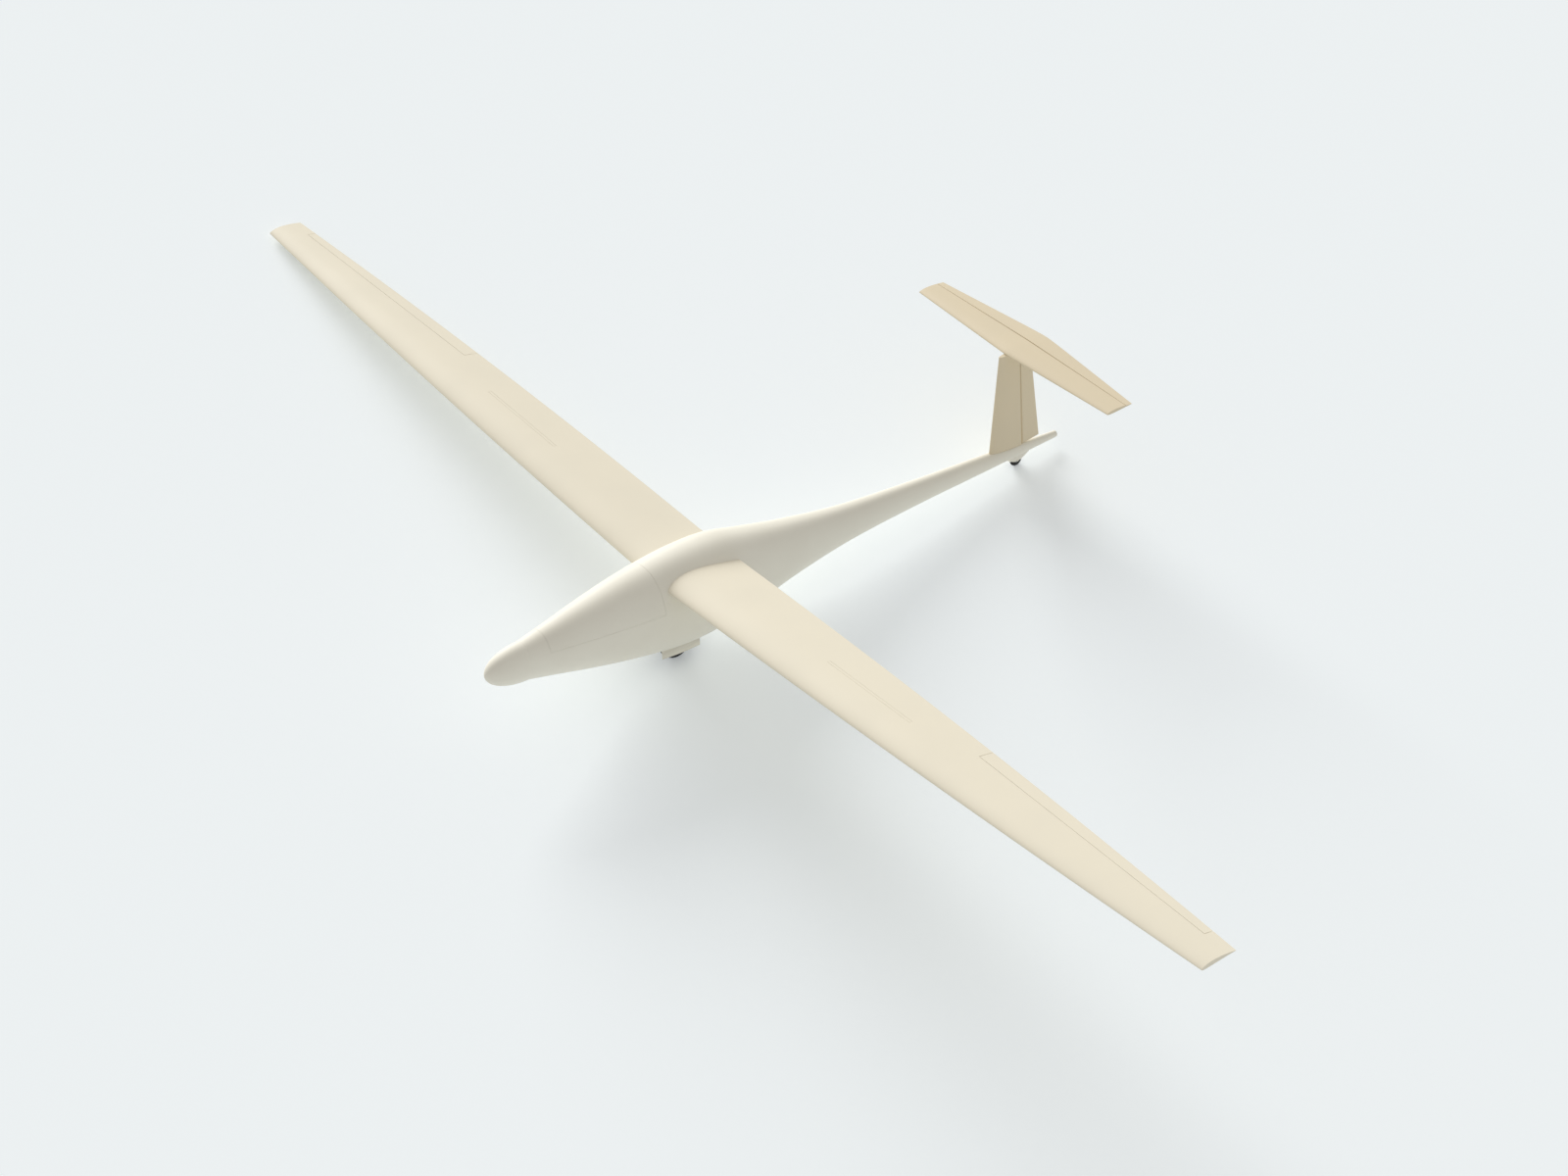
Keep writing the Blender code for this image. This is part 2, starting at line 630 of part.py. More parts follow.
# Fin, rudder, tailplane and elevator
def rudder_hinge(z):
    lead = fin_edge(FIN_LE, z)
    return Vector((0, lead + RUDDER_HINGE * (fin_edge(FIN_TE, z) - lead), z))


def bevelled(degrees):
    """The section of a moving surface's limits: a blunt knife edge at the hinge, then open aft."""
    aft = SEAM + BEYOND * math.tan(math.radians(degrees))
    return [(0, SEAM), (BEYOND, aft), (BEYOND, BEYOND), (-BEYOND, BEYOND), (-BEYOND, aft)]


behind = [(-BEYOND, 0), (BEYOND, 0), (BEYOND, BEYOND), (-BEYOND, BEYOND)]
fin = add_object("fin", fin_loft(), "tail")
rudder = add_object("rudder", fin_loft(), "tail", rudder_hinge(RUDDER_BOTTOM_Z))
tail_skin = add_object("tail_skin", tail_loft(TOUCH))
body_clear = add_object("body_clear", body_loft(RUDDER_BODY_GAP, CAVITY_END))
rudder_slot = add_object("rudder_slot", extrusion(
    [rudder_hinge(FIN_BOTTOM_Z - SEAM), rudder_hinge(FIN_TOP_Z + SEAM)], behind, "XY"))
rudder_limits = add_object("rudder_limits", extrusion(
    [rudder_hinge(FIN_BOTTOM_Z - SEAM), rudder_hinge(RUDDER_TOP_Z)], bevelled(RUDDER_BEVEL_DEG), "XY"))
rudder_bead = add_object("rudder_bead", rod(
    rudder_hinge(RUDDER_BOTTOM_Z), rudder_hinge(RUDDER_TOP_Z - 4 * SEAM), HINGE_BEAD, BEAD_SIDES))
cut(fin, body_skin, rudder_slot, tail_skin)
fuse(fin, rudder_bead)
keep_inside(rudder, rudder_limits)
cut(rudder, body_clear)

elevator_z = TAIL_Z + ELEVATOR_HINGE_RISE
elevator_ends = [(side * (TAIL_HALF_SPAN + BEYOND), ELEVATOR_HINGE_Y, elevator_z) for side in (-1, 1)]
tailplane = add_object("tailplane", tail_loft(), "tail")
elevator = add_object("elevator", tail_loft(), "tail", (0, ELEVATOR_HINGE_Y, elevator_z))
elevator_slot = add_object("elevator_slot", extrusion(elevator_ends, [(b, a) for a, b in behind], "YZ"))
elevator_limits = add_object("elevator_limits", extrusion(
    elevator_ends, [(b, a) for a, b in bevelled(ELEVATOR_BEVEL_DEG)], "YZ"))
elevator_bead = add_object("elevator_bead", cross_rod(
    TAIL_HALF_SPAN - 2 * SEAM, ELEVATOR_HINGE_Y, elevator_z, HINGE_BEAD, BEAD_SIDES))
cut(tailplane, elevator_slot)
fuse(tailplane, elevator_bead)
keep_inside(elevator, elevator_limits)

# Main wheel: a round tyre on a hub with a dished disc
wheel_centre = (0, WHEEL_Y, WHEEL_Z)
tyre_profile = [(-TYRE_BEAD, RIM_RADIUS)]
for degrees in range(-50, 231, 35):
    angle = math.radians(degrees)
    tyre_profile.append((-TYRE_WIDTH / 2 * math.cos(angle),
                         TYRE_RADIUS - TYRE_SHOULDER + TYRE_SHOULDER * math.sin(angle)))
tyre_profile.append((TYRE_BEAD, RIM_RADIUS))
add_object("main_tyre", turned(tyre_profile, wheel_centre, WHEEL_SIDES), "rubber", wheel_centre)
hub_outline = ((-HUB_HALF, AXLE_RADIUS + TOUCH), (-HUB_HALF, HUB_BARREL), (-DISC_HALF, DISC_INNER),
               (-DISC_HALF, DISC_OUTER), (-TYRE_BEAD, RIM_WELL), (-TYRE_BEAD, RIM_RADIUS - TOUCH))
add_object("main_hub", turned(both_sides(hub_outline), wheel_centre, WHEEL_SIDES), "steel", wheel_centre)
add_object("main_axle", cross_rod(LEG_X + AXLE_PAST_LEG, WHEEL_Y, WHEEL_Z, AXLE_RADIUS, AXLE_SIDES), "steel")

# Wheel box over the bay, and the legs that carry the axle from its roof
outer_box = box((-BAY_HALF_WIDTH - BAY_WALL, BAY_FRONT - BAY_WALL, belly_z),
                (BAY_HALF_WIDTH + BAY_WALL, BAY_REAR + BAY_WALL, BAY_TOP))
wheel_box = add_object("wheel_box", outer_box, "lining")
box_hollow = add_object("box_hollow", box((-BAY_HALF_WIDTH, BAY_FRONT, belly_z - BAY_WALL),
                                          (BAY_HALF_WIDTH, BAY_REAR, BAY_TOP - BAY_WALL)))
cut(wheel_box, box_hollow)
keep_inside(wheel_box, cavity_fit)
leg_top = BAY_TOP - BAY_WALL - TOUCH
leg_outline = [(-LEG_FOOT, WHEEL_Z - LEG_FOOT_DROP), (LEG_FOOT, WHEEL_Z - LEG_FOOT_DROP),
               (LEG_WAIST, WHEEL_Z + LEG_WAIST_RISE), (LEG_TOP, leg_top), (-LEG_TOP, leg_top),
               (-LEG_WAIST, WHEEL_Z + LEG_WAIST_RISE)]
axle_bore = add_object("axle_bore", cross_rod(
    BAY_HALF_WIDTH, WHEEL_Y, WHEEL_Z, AXLE_RADIUS + TOUCH, AXLE_SIDES))
front_z, rear_z = body_bottom(BAY_FRONT, BAY_HALF_WIDTH), body_bottom(BAY_REAR, BAY_HALF_WIDTH)
belly_sag = max(front_z + (rear_z - front_z) * share
                - body_bottom(BAY_FRONT + (BAY_REAR - BAY_FRONT) * share, BAY_HALF_WIDTH)
                for share in spread(0, 1, 11))
for side, label in SIDES:
    leg = add_object("gear_leg_" + label, extrusion(
        [(side * LEG_X - LEG_HALF, WHEEL_Y, 0), (side * LEG_X + LEG_HALF, WHEEL_Y, 0)], leg_outline, "YZ"),
        "steel")
    cut(leg, axle_bore)

    # Door: a strip of the belly's skin that swings down about its outer edge, with a hinge rod along it
    rod_drop = belly_sag + DOOR_ROD
    hinge_front = Vector((side * BAY_HALF_WIDTH, BAY_FRONT + SEAM, front_z - rod_drop))
    hinge_rear = Vector((side * BAY_HALF_WIDTH, BAY_REAR - SEAM, rear_z - rod_drop))
    across = spread(DOOR_MEET, BAY_HALF_WIDTH - DOOR_EDGE, 6)
    rings = []
    for y in spread(BAY_FRONT + SEAM, BAY_REAR - SEAM, 5):
        outer = [(side * x, y, body_bottom(y, x)) for x in across]
        inner = [(side * x, y, body_bottom(y, x) + DOOR_THICKNESS) for x in reversed(across)]
        rings.append(outer + inner)
    door = add_object("gear_door_" + label, loft(rings), "body", hinge_front)
    door.rotation_mode = "QUATERNION"
    door.rotation_quaternion = Quaternion(hinge_rear - hinge_front, -side * math.radians(DOOR_OPEN_DEG))
    add_object("door_hinge_" + label, rod(hinge_front, hinge_rear, DOOR_ROD, 10), "steel")

# Tail wheel in its fork under the boom
tail_centre = (0, TAIL_WHEEL_Y, TAIL_WHEEL_Z)
fork_rings = []
for y, half, low in FORK_STATIONS:
    flat = half * FORK_FLAT
    fork_rings.append([(-half, y, FORK_TOP_Z), (half, y, FORK_TOP_Z), (half, y, low + FORK_CHAMFER),
                       (flat, y, low), (-flat, y, low), (-half, y, low + FORK_CHAMFER)])
tail_fork = add_object("tail_fork", loft(fork_rings), "body")
wheel_slot = add_object("wheel_slot", cross_rod(TAIL_TYRE_WIDTH / 2 + SEAM, TAIL_WHEEL_Y, TAIL_WHEEL_Z,
                                                TAIL_TYRE_RADIUS + SEAM, WHEEL_SIDES))
tail_bore = add_object("tail_bore", cross_rod(2 * TAIL_AXLE_HALF, TAIL_WHEEL_Y, TAIL_WHEEL_Z,
                                              TAIL_AXLE_RADIUS + TOUCH, 16))
cut(tail_fork, body_skin, wheel_slot, tail_bore)
cut(boom, wheel_slot)
add_object("tail_tyre", turned(both_sides(TAIL_TYRE_OUTLINE), tail_centre, TAIL_WHEEL_SIDES), "rubber",
           tail_centre)
add_object("tail_hub", turned(both_sides(TAIL_HUB_OUTLINE), tail_centre, TAIL_WHEEL_SIDES), "steel",
           tail_centre)
add_object("tail_axle", cross_rod(TAIL_AXLE_HALF, TAIL_WHEEL_Y, TAIL_WHEEL_Z, TAIL_AXLE_RADIUS, 16), "steel")

# Tow hook
hook_low = body_bottom(HOOK_Y, 0) - HOOK_DROP
hook = add_object("tow_hook", box((-HOOK_HALF_WIDTH, HOOK_Y - HOOK_HALF_LENGTH, hook_low),
                                  (HOOK_HALF_WIDTH, HOOK_Y + HOOK_HALF_LENGTH, hook_low + 0.1)), "steel")
cut(hook, body_skin)


# Cockpit: bulkhead, seat, panel and controls
def ribbon(profile, half_width, thickness):
    """A plate that follows a profile of (Y, Z) points, its thickness below the points."""
    below = []
    for i, (y, z) in enumerate(profile):
        before, after = profile[max(i - 1, 0)], profile[min(i + 1, len(profile) - 1)]
        along = Vector((after[0] - before[0], after[1] - before[1])).normalized()
        below.append((y + along[1] * thickness, z - along[0] * thickness))
    return extrusion([(-half_width, 0, 0), (half_width, 0, 0)], list(profile) + below[::-1], "YZ")


def raised(profile):
    """The profile lifted just clear of itself and run on a little at both ends."""
    points = [Vector(point) for point in profile]
    points = [points[0] * 1.2 - points[1] * 0.2] + points + [points[-1] * 1.2 - points[-2] * 0.2]
    return [(y - TOUCH, z + TOUCH) for y, z in points]


bulkhead = add_object("cockpit_bulkhead", box((-BEYOND, BULKHEAD_Y, -BEYOND),
                                              (BEYOND, BULKHEAD_Y + BULKHEAD_THICKNESS, BEYOND)), "lining")
bulkhead_side = add_object("bulkhead_side", box((-BEYOND, BULKHEAD_Y - TOUCH, -BEYOND),
                                                (BEYOND, BULKHEAD_Y + BEYOND, BEYOND)))
keep_inside(bulkhead, cavity_fit)
seat_pan = add_object("seat_pan", ribbon(PAN, BEYOND, PAN_THICKNESS), "lining")
keep_inside(seat_pan, cavity_fit)
pan_side = add_object("pan_side", ribbon(raised(PAN), BEYOND, 0.1))
back_side = add_object("back_side", ribbon(raised(BACK), BEYOND, 0.1))
seat_back = add_object("seat_back", ribbon(BACK, BACK_HALF_WIDTH, BACK_THICKNESS), "lining")
cut(seat_back, pan_side, bulkhead_side)
seat_top = [(y, z + CUSHION_THICKNESS) for y, z in PAN[2:5]]
seat_cushion = add_object("seat_cushion", ribbon(seat_top, SEAT_CUSHION_HALF, CUSHION_STOCK), "cushion")
cut(seat_cushion, pan_side)
lean = (Vector(BACK[3]) - Vector(BACK[1])).normalized()
back_front = [(y - lean.y * CUSHION_THICKNESS, z + lean.x * CUSHION_THICKNESS) for y, z in BACK[1:4]]
back_cushion = add_object("back_cushion", ribbon(back_front, BACK_CUSHION_HALF, CUSHION_STOCK), "cushion")
cut(back_cushion, back_side)
add_object("headrest", box(HEADREST_LOW, HEADREST_HIGH), "cushion")

panel_outline = list(PANEL_HALF) + [(-x, z) for x, z in reversed(PANEL_HALF)]
panel = add_object("instrument_panel", extrusion(
    [(0, PANEL_FRONT, 0), (0, PANEL_REAR, 0)], panel_outline, "XZ"), "panel")
pedestal = add_object("pedestal", box(PEDESTAL_LOW, PEDESTAL_HIGH))
fuse(panel, pedestal)
keep_inside(panel, cavity_fit)

stick = add_object("control_stick", rod(STICK_FOOT, STICK_HEAD, STICK_RADIUS), "steel")
grip = add_object("stick_grip", rod(GRIP_FOOT, GRIP_HEAD, GRIP_RADIUS))
fuse(stick, grip)
cut(stick, pan_side)

pedals = add_object("rudder_pedals", cross_rod(BEYOND, PEDAL_Y, PEDAL_Z, PEDAL_BAR, 16), "steel")
for side, label in SIDES:
    inner, outer = side * PEDAL_X - PEDAL_HALF, side * PEDAL_X + PEDAL_HALF
    fuse(pedals, add_object("pedal_" + label, extrusion(
        [(inner, PEDAL_Y, PEDAL_Z), (outer, PEDAL_Y, PEDAL_Z)], PEDAL_OUTLINE, "YZ")))
keep_inside(pedals, cavity_fit)

for side, label, y_front, y_rear, z in LEVERS:
    x, arm_y = side * LEVER_X, y_rear - LEVER_ARM
    wall_x = side * (body_half_width(y_rear, z) + LEVER_ARM)
    lever = add_object(label, rod((x, y_front, z), (x, y_rear, z), LEVER_RADIUS), "steel")
    arm = add_object(label + "_arm", rod((x, arm_y, z), (wall_x, arm_y, z), LEVER_RADIUS))
    knob = add_object(label + "_knob", rod((x, y_front - KNOB_AHEAD, z), (x, y_front + KNOB_BEHIND, z),
                                           KNOB_RADIUS))
    fuse(lever, arm, knob)
    keep_inside(lever, cavity_fit)


# The attitude at rest: tail down onto its wheel, then over onto the right wing's skid
def corners(name, turn):
    piece = bpy.data.objects[name]
    return [turn @ (piece.location + vertex.co) for vertex in piece.data.vertices]


def lowest(name, turn):
    return min(corner.z for corner in corners(name, turn))


pitch, roll = 0.0, 0.0
for _ in range(60):
    turn = Matrix.Rotation(pitch, 4, "X") @ Matrix.Rotation(roll, 4, "Y")
    main_low = lowest("main_tyre", turn)
    pitch -= (lowest("tail_tyre", turn) - main_low) / (TAIL_WHEEL_Y - WHEEL_Y)
    roll += (main_low - lowest("tip_skid_right", turn)) / HALF_SPAN
turn = Matrix.Rotation(pitch, 4, "X") @ Matrix.Rotation(roll, 4, "Y")
outermost = ("nose_cap", "tail_boom", "wing_left", "wing_right", "tip_skid_right", "main_tyre", "tail_tyre")
outer_corners = [corner for name in outermost for corner in corners(name, turn)]
low = Vector([min(corner[axis] for corner in outer_corners) for axis in range(3)])
high = Vector([max(corner[axis] for corner in outer_corners) for axis in range(3)])
airframe.matrix_world = Matrix.Translation((-(low.x + high.x) / 2, -(low.y + high.y) / 2, -low.z)) @ turn
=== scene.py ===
"""Looks of a single-seat sailplane of 15 m span, parked on its wheel with the right wing down."""
import json
import math

import bmesh
import bpy
from mathutils import Matrix, Vector
from mathutils.bvhtree import BVHTree


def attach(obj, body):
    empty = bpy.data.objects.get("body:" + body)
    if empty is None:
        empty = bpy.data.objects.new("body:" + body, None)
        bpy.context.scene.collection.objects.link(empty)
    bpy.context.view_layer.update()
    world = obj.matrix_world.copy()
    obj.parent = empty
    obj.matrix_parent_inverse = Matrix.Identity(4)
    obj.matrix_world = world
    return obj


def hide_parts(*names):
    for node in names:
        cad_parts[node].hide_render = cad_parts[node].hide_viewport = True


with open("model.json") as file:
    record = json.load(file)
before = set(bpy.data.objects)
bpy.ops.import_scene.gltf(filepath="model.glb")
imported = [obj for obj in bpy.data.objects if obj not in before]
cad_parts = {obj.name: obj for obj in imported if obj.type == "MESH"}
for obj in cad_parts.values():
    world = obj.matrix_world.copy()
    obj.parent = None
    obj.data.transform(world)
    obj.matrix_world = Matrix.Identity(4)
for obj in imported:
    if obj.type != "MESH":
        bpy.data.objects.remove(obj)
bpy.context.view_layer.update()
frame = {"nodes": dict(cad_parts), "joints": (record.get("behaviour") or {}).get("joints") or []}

# Attitude: every piece is modelled with the wings level, in metres, where the nose's tip is at Y = 0, +Y
# runs aft, +X is the pilot's left and +Z is up. The real one parks nose high with a wing down, so each is
# then set down on its main wheel by the directions that the joints have in the frame.
joints = {joint["name"]: joint for joint in frame["joints"]}
LEFT = Vector(joints["elevator_hinge"]["axis"])
UP = Vector(joints["left_airbrake_slide"]["axis"])
MAIN_WHEEL = Vector((0, 2.20, -0.63))
SIDES = ((1, "left"), (-1, "right"))

attitude = Matrix((LEFT, UP.cross(LEFT), UP)).transposed().to_4x4()
park = Matrix.Translation(Vector(joints["main_wheel_spin"]["pos_m"]) - attitude @ MAIN_WHEEL) @ attitude

# Camera: a long lens above the left wing and ahead of the nose, at the photograph's angle to the airframe.
# It keeps level with the aircraft's own upward direction, not with the ground.
CAMERA_EYE = Vector((21.114, -12.644, 19.072))
CAMERA_TARGET = Vector((0, 3.562, -0.590))
CAMERA_LENS = 75.41


def placed(name, data):
    made = bpy.data.objects.new(name, data)
    bpy.context.scene.collection.objects.link(made)
    return made


camera_data = bpy.data.cameras.new("camera")
camera_data.lens = CAMERA_LENS
camera_data.sensor_width = 36
camera_data.clip_end = 1000
camera = placed("camera", camera_data)
bpy.context.scene.camera = camera
backward = (attitude @ (CAMERA_EYE - CAMERA_TARGET)).normalized()
rightward = UP.cross(backward).normalized()
camera.matrix_world = (Matrix.Translation(park @ CAMERA_EYE)
                       @ Matrix((rightward, backward.cross(rightward), backward)).transposed().to_4x4())

# Fuselage shell: a moulded fibre tube with a 10 mm wall, in satin off-white gelcoat. It is open for
# the cockpit hood on top and for the main wheel in the belly.
WALL = 0.010
SEAM = 0.005
TOUCH = 0.0003
SHARP = math.radians(38)    # edges that turn more than this are real ones, and are rounded or stay crisp
SHUT_LINE = 0.0015          # what shows of a seam; the rest of it is filled by soft edge seals
TRIMMED_EDGE = 0.0015       # rounding where a moulding was trimmed
NOSE_LENGTH = 0.43
NOSE_HALF_WIDTH = 0.158
NOSE_HALF_HEIGHT = 0.207
NOSE_CENTRE_Z = -0.037
SECTION_FULLNESS = 2.15
# Distance behind the nose, half width, top and bottom
OFFSETS = (
    (0.43, 0.158, 0.170, -0.244),
    (0.75, 0.210, 0.232, -0.320),
    (1.10, 0.270, 0.305, -0.407),
    (1.50, 0.328, 0.377, -0.494),
    (1.90, 0.372, 0.428, -0.563),
    (2.30, 0.392, 0.454, -0.600),
    (2.70, 0.377, 0.437, -0.575),
    (3.10, 0.319, 0.339, -0.509),
    (3.60, 0.240, 0.223, -0.414),
    (4.30, 0.160, 0.098, -0.321),
    (5.20, 0.107, 0.011, -0.273),
    (6.20, 0.070, -0.063, -0.250),
    (7.17, 0.033, -0.148, -0.221),
)
BODY_SIDES = 96
BOOM_JOINT = 3.3
HOOD_FRONT = 0.64
HOOD_REAR = 1.86
SILL_Z = 0.06
BAY_FRONT = 1.965
BAY_REAR = 2.435
BAY_HALF_WIDTH = 0.1125
BAY_TOP = -0.28
BELLY_Z = -0.81
BODY_COLOUR = (0.86, 0.83, 0.725, 1)
BODY_WORN = (0.82, 0.785, 0.68, 1)
GRIME = (0.33, 0.30, 0.25, 1)
GRIME_Y = 2.62              # dirt thrown up by the wheel lies round here, low on the belly
GRIME_LOW = -0.62
GRIME_HIGH = -0.42


class Link:
    """A socket in a material: sums and products of links add Math nodes, and node() adds any other node."""

    def __init__(self, tree, socket=None):
        self.tree = tree
        self.socket = socket

    def node(self, kind, settings, sockets, output=0):
        made = self.tree.nodes.new("ShaderNode" + kind)
        for name, value in settings.items():
            setattr(made, name, value)
        for key, value in sockets.items():
            if isinstance(value, Link):
                self.tree.links.new(value.socket, made.inputs[key])
            else:
                made.inputs[key].default_value = value
        return Link(self.tree, made.outputs[output])

    def maths(self, operation, *values):
        return self.node("Math", {"operation": operation}, dict(enumerate(values)))

    def __add__(self, other):
        return self.maths("ADD", self, other)

    def __sub__(self, other):
        return self.maths("SUBTRACT", self, other)

    def __rsub__(self, other):
        return self.maths("SUBTRACT", other, self)

    def __mul__(self, other):
        return self.maths("MULTIPLY", self, other)

    def __truediv__(self, other):
        return self.maths("DIVIDE", self, other)

    __radd__ = __add__
    __rmul__ = __mul__


def noise(point, scale, detail=3.0):
    return point.node("TexNoise", {}, {"Vector": point, "Scale": scale, "Detail": detail})


def streaked(point, stretch, detail):
    """Noise that is finer along one direction than another."""
    stretched = point.node("VectorMath", {"operation": "MULTIPLY"}, {0: point, 1: stretch})
    return noise(stretched, 1.0, detail)


def eased(value, low, high):
    """From 0 at low to 1 at high, smoothly."""
    return value.node("MapRange", {"interpolation_type": "SMOOTHSTEP"},
                      {"Value": value, "From Min": low, "From Max": high})


def mixed(factor, first, second):
    return factor.node("Mix", {"data_type": "RGBA"}, {0: factor, 6: first, 7: second}, 2)


def bumped(height, distance, strength=1.0):
    return height.node("Bump", {}, {"Height": height, "Distance": distance, "Strength": strength})


def finish(name, steady, varying):
    """A material: steady gives the sockets that are the same all over, varying works out the rest."""
    made = bpy.data.materials.new(name)
    made.use_nodes = True
    shader = made.node_tree.nodes["Principled BSDF"]
    for socket, value in steady.items():
        shader.inputs[socket].default_value = value
    point = Link(made.node_tree).node("TexCoord", {}, {}, "Object")
    for socket, value in varying(point).items():
        made.node_tree.links.new(value.socket, shader.inputs[socket])
    return made


def levelled(point):
    """The point as it was before the aircraft was set down, and its three distances."""
    lift = park.inverted()
    level = point.node("Mapping", {}, {"Vector": point, "Location": lift.translation,
                                       "Rotation": lift.to_euler()})
    return [level] + [level.node("SeparateXYZ", {}, {"Vector": level}, axis) for axis in "XYZ"]


def gelcoat(point, colour, worn, wear):
    """Polished gelcoat: slow changes of tone, fine pores, and a duller surface where it is worn."""
    cloud = noise(point, 1.7, 4.0)
    pores = noise(point, 260.0, 2.0)
    base = mixed(eased(cloud, 0.35, 0.75) * 0.5 + wear * 0.5, colour, worn)
    return {"Base Color": base,
            "Roughness": 0.46 + cloud * 0.10 + wear * 0.12,
            "Normal": bumped(pores * 0.3 + noise(point, 9.0, 2.0), 0.0006, 0.25)}


def body_gelcoat(point):
    level, _, y, z = levelled(point)
    wheel_dirt = 1 - eased((y - GRIME_Y).maths("ABSOLUTE"), 0.1, 0.9)
    under = 1 - eased(z, GRIME_LOW, GRIME_HIGH)
    dirt = wheel_dirt * under * eased(streaked(level, (14.0, 0.9, 14.0), 4.0), 0.40, 0.75) * 0.5
    made = gelcoat(point, BODY_COLOUR, BODY_WORN, 1 - eased(y, 0.02, 0.22))
    made["Base Color"] = mixed(dirt, made["Base Color"], GRIME)
    return made


body_finish = finish("body_gelcoat", {"Specular IOR Level": 0.25}, body_gelcoat)


def spread(start, end, count):
    return [start + (end - start) * i / (count - 1) for i in range(count)]


def curve_at(rows, distance):
    """The values of rows at a distance, on a smooth curve through them."""
    index = max([0] + [i for i in range(len(rows) - 1) if rows[i][0] <= distance])
    low, high = rows[index], rows[index + 1]
    before, after = rows[max(index - 1, 0)], rows[min(index + 2, len(rows) - 1)]
    step = high[0] - low[0]
    t = (distance - low[0]) / step
    values = []
    for column in range(1, len(low)):
        slope_low = (high[column] - before[column]) / (high[0] - before[0]) * step
        slope_high = (after[column] - low[column]) / (after[0] - low[0]) * step
        values.append((2 * t ** 3 - 3 * t ** 2 + 1) * low[column] + (t ** 3 - 2 * t ** 2 + t) * slope_low
                      + (3 * t ** 2 - 2 * t ** 3) * high[column] + (t ** 3 - t ** 2) * slope_high)
    return values


def body_section(y):
    """Half width, centre height and half height of the body at a distance behind the nose."""
    if y < NOSE_LENGTH:
        share = math.sqrt(max(1 - ((NOSE_LENGTH - y) / NOSE_LENGTH) ** 2, 0.0))
        return NOSE_HALF_WIDTH * share, NOSE_CENTRE_Z, NOSE_HALF_HEIGHT * share
    half_width, top, bottom = curve_at(OFFSETS, y)
    return half_width, (top + bottom) / 2, (top - bottom) / 2


def body_ring(y, grow=0.0, sides=BODY_SIDES):
    """Points round the body's section, grown by a distance; the last is the first again."""
    half_width, centre_z, half_height = body_section(y)
    ring = []
    for angle in spread(0, math.tau, sides + 1):
        across, up = math.cos(angle), math.sin(angle)
        x = (half_width + grow) * math.copysign(abs(across) ** (2 / SECTION_FULLNESS), across)
        z = (half_height + grow) * math.copysign(abs(up) ** (2 / SECTION_FULLNESS), up)
        ring.append((x, y, centre_z + z))
    return ring


def lofted(sections, capped=False):
    """A grid whose rows are laid on the sections, one after another, and sewn where they meet."""
    rows, columns = len(sections) - 1, len(sections[0]) - 1
    bm = bmesh.new()
    bmesh.ops.create_grid(bm, x_segments=columns, y_segments=rows, size=0.5)
    for vert in bm.verts:
        row, column = round((vert.co.y + 0.5) * rows), round((vert.co.x + 0.5) * columns)
        vert.co = sections[row][column]
    bmesh.ops.remove_doubles(bm, verts=bm.verts, dist=1e-6)
    if capped:
        bmesh.ops.holes_fill(bm, edges=[edge for edge in bm.edges if edge.is_boundary])
    bmesh.ops.recalc_face_normals(bm, faces=bm.faces)
    return bm


def cut_to_box(bm, low, high, axes, margin=0.25):
    """Cuts a skin along a box's sides and returns the skin's faces inside the box."""
    low, high = Vector(low), Vector(high)

    def inside(face, grow):
        centre = face.calc_center_median()
        return all(low[i] - grow < centre[i] < high[i] + grow for i in range(3))

    for axis in axes:
        direction = Vector([float(axis == name) for name in "XYZ"])
        for corner in (low, high):
            faces = [face for face in bm.faces if inside(face, margin)]
            edges = {edge for face in faces for edge in face.edges}
            verts = {vert for face in faces for vert in face.verts}
            bmesh.ops.bisect_plane(bm, geom=[*faces, *edges, *verts], dist=1e-5, plane_co=corner,
                                   plane_no=direction)
    return [face for face in bm.faces if inside(face, 0)]


def opened(bm, low, high, axes, margin=0.25):
    """Cuts an opening into a skin, as wide as a box."""
    bmesh.ops.delete(bm, geom=cut_to_box(bm, low, high, axes, margin), context="FACES")
    return bm


def walled(bm, thickness):
    """Gives a skin its wall, inwards, and closes it round every opening."""
    bmesh.ops.recalc_face_normals(bm, faces=bm.faces)
    bmesh.ops.solidify(bm, geom=bm.faces, thickness=thickness)
    return bm


def rounded(bm, radius, where=lambda point: True, angle=SHARP):
    """Rounds the sharp edges that lie where the test says."""
    sharp = [edge for edge in bm.edges if edge.is_manifold and edge.calc_face_angle() > angle
             and all(where(vert.co) for vert in edge.verts)]
    bmesh.ops.bevel(bm, geom=sharp, offset=radius, offset_type="OFFSET", segments=3, profile=0.5,
                    affect="EDGES", clamp_overlap=True, material=-1)
    return bm


def add_piece(name, bm, body, material, replaced=()):
    """Sets a level shape down as a piece that rides on a body and stands for the replaced nodes."""
    bmesh.ops.transform(bm, matrix=park, verts=bm.verts)
    mesh = bpy.data.meshes.new(name)
    bm.to_mesh(mesh)
    bm.free()
    mesh.materials.append(material)
    mesh.shade_smooth()
    mesh.set_sharp_from_angle(angle=SHARP)
    made = placed(name, mesh)
    shading = made.modifiers.new("shading", "WEIGHTED_NORMAL")
    shading.keep_sharp = True
    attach(made, body)
    if replaced:
        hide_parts(*replaced)
    return made


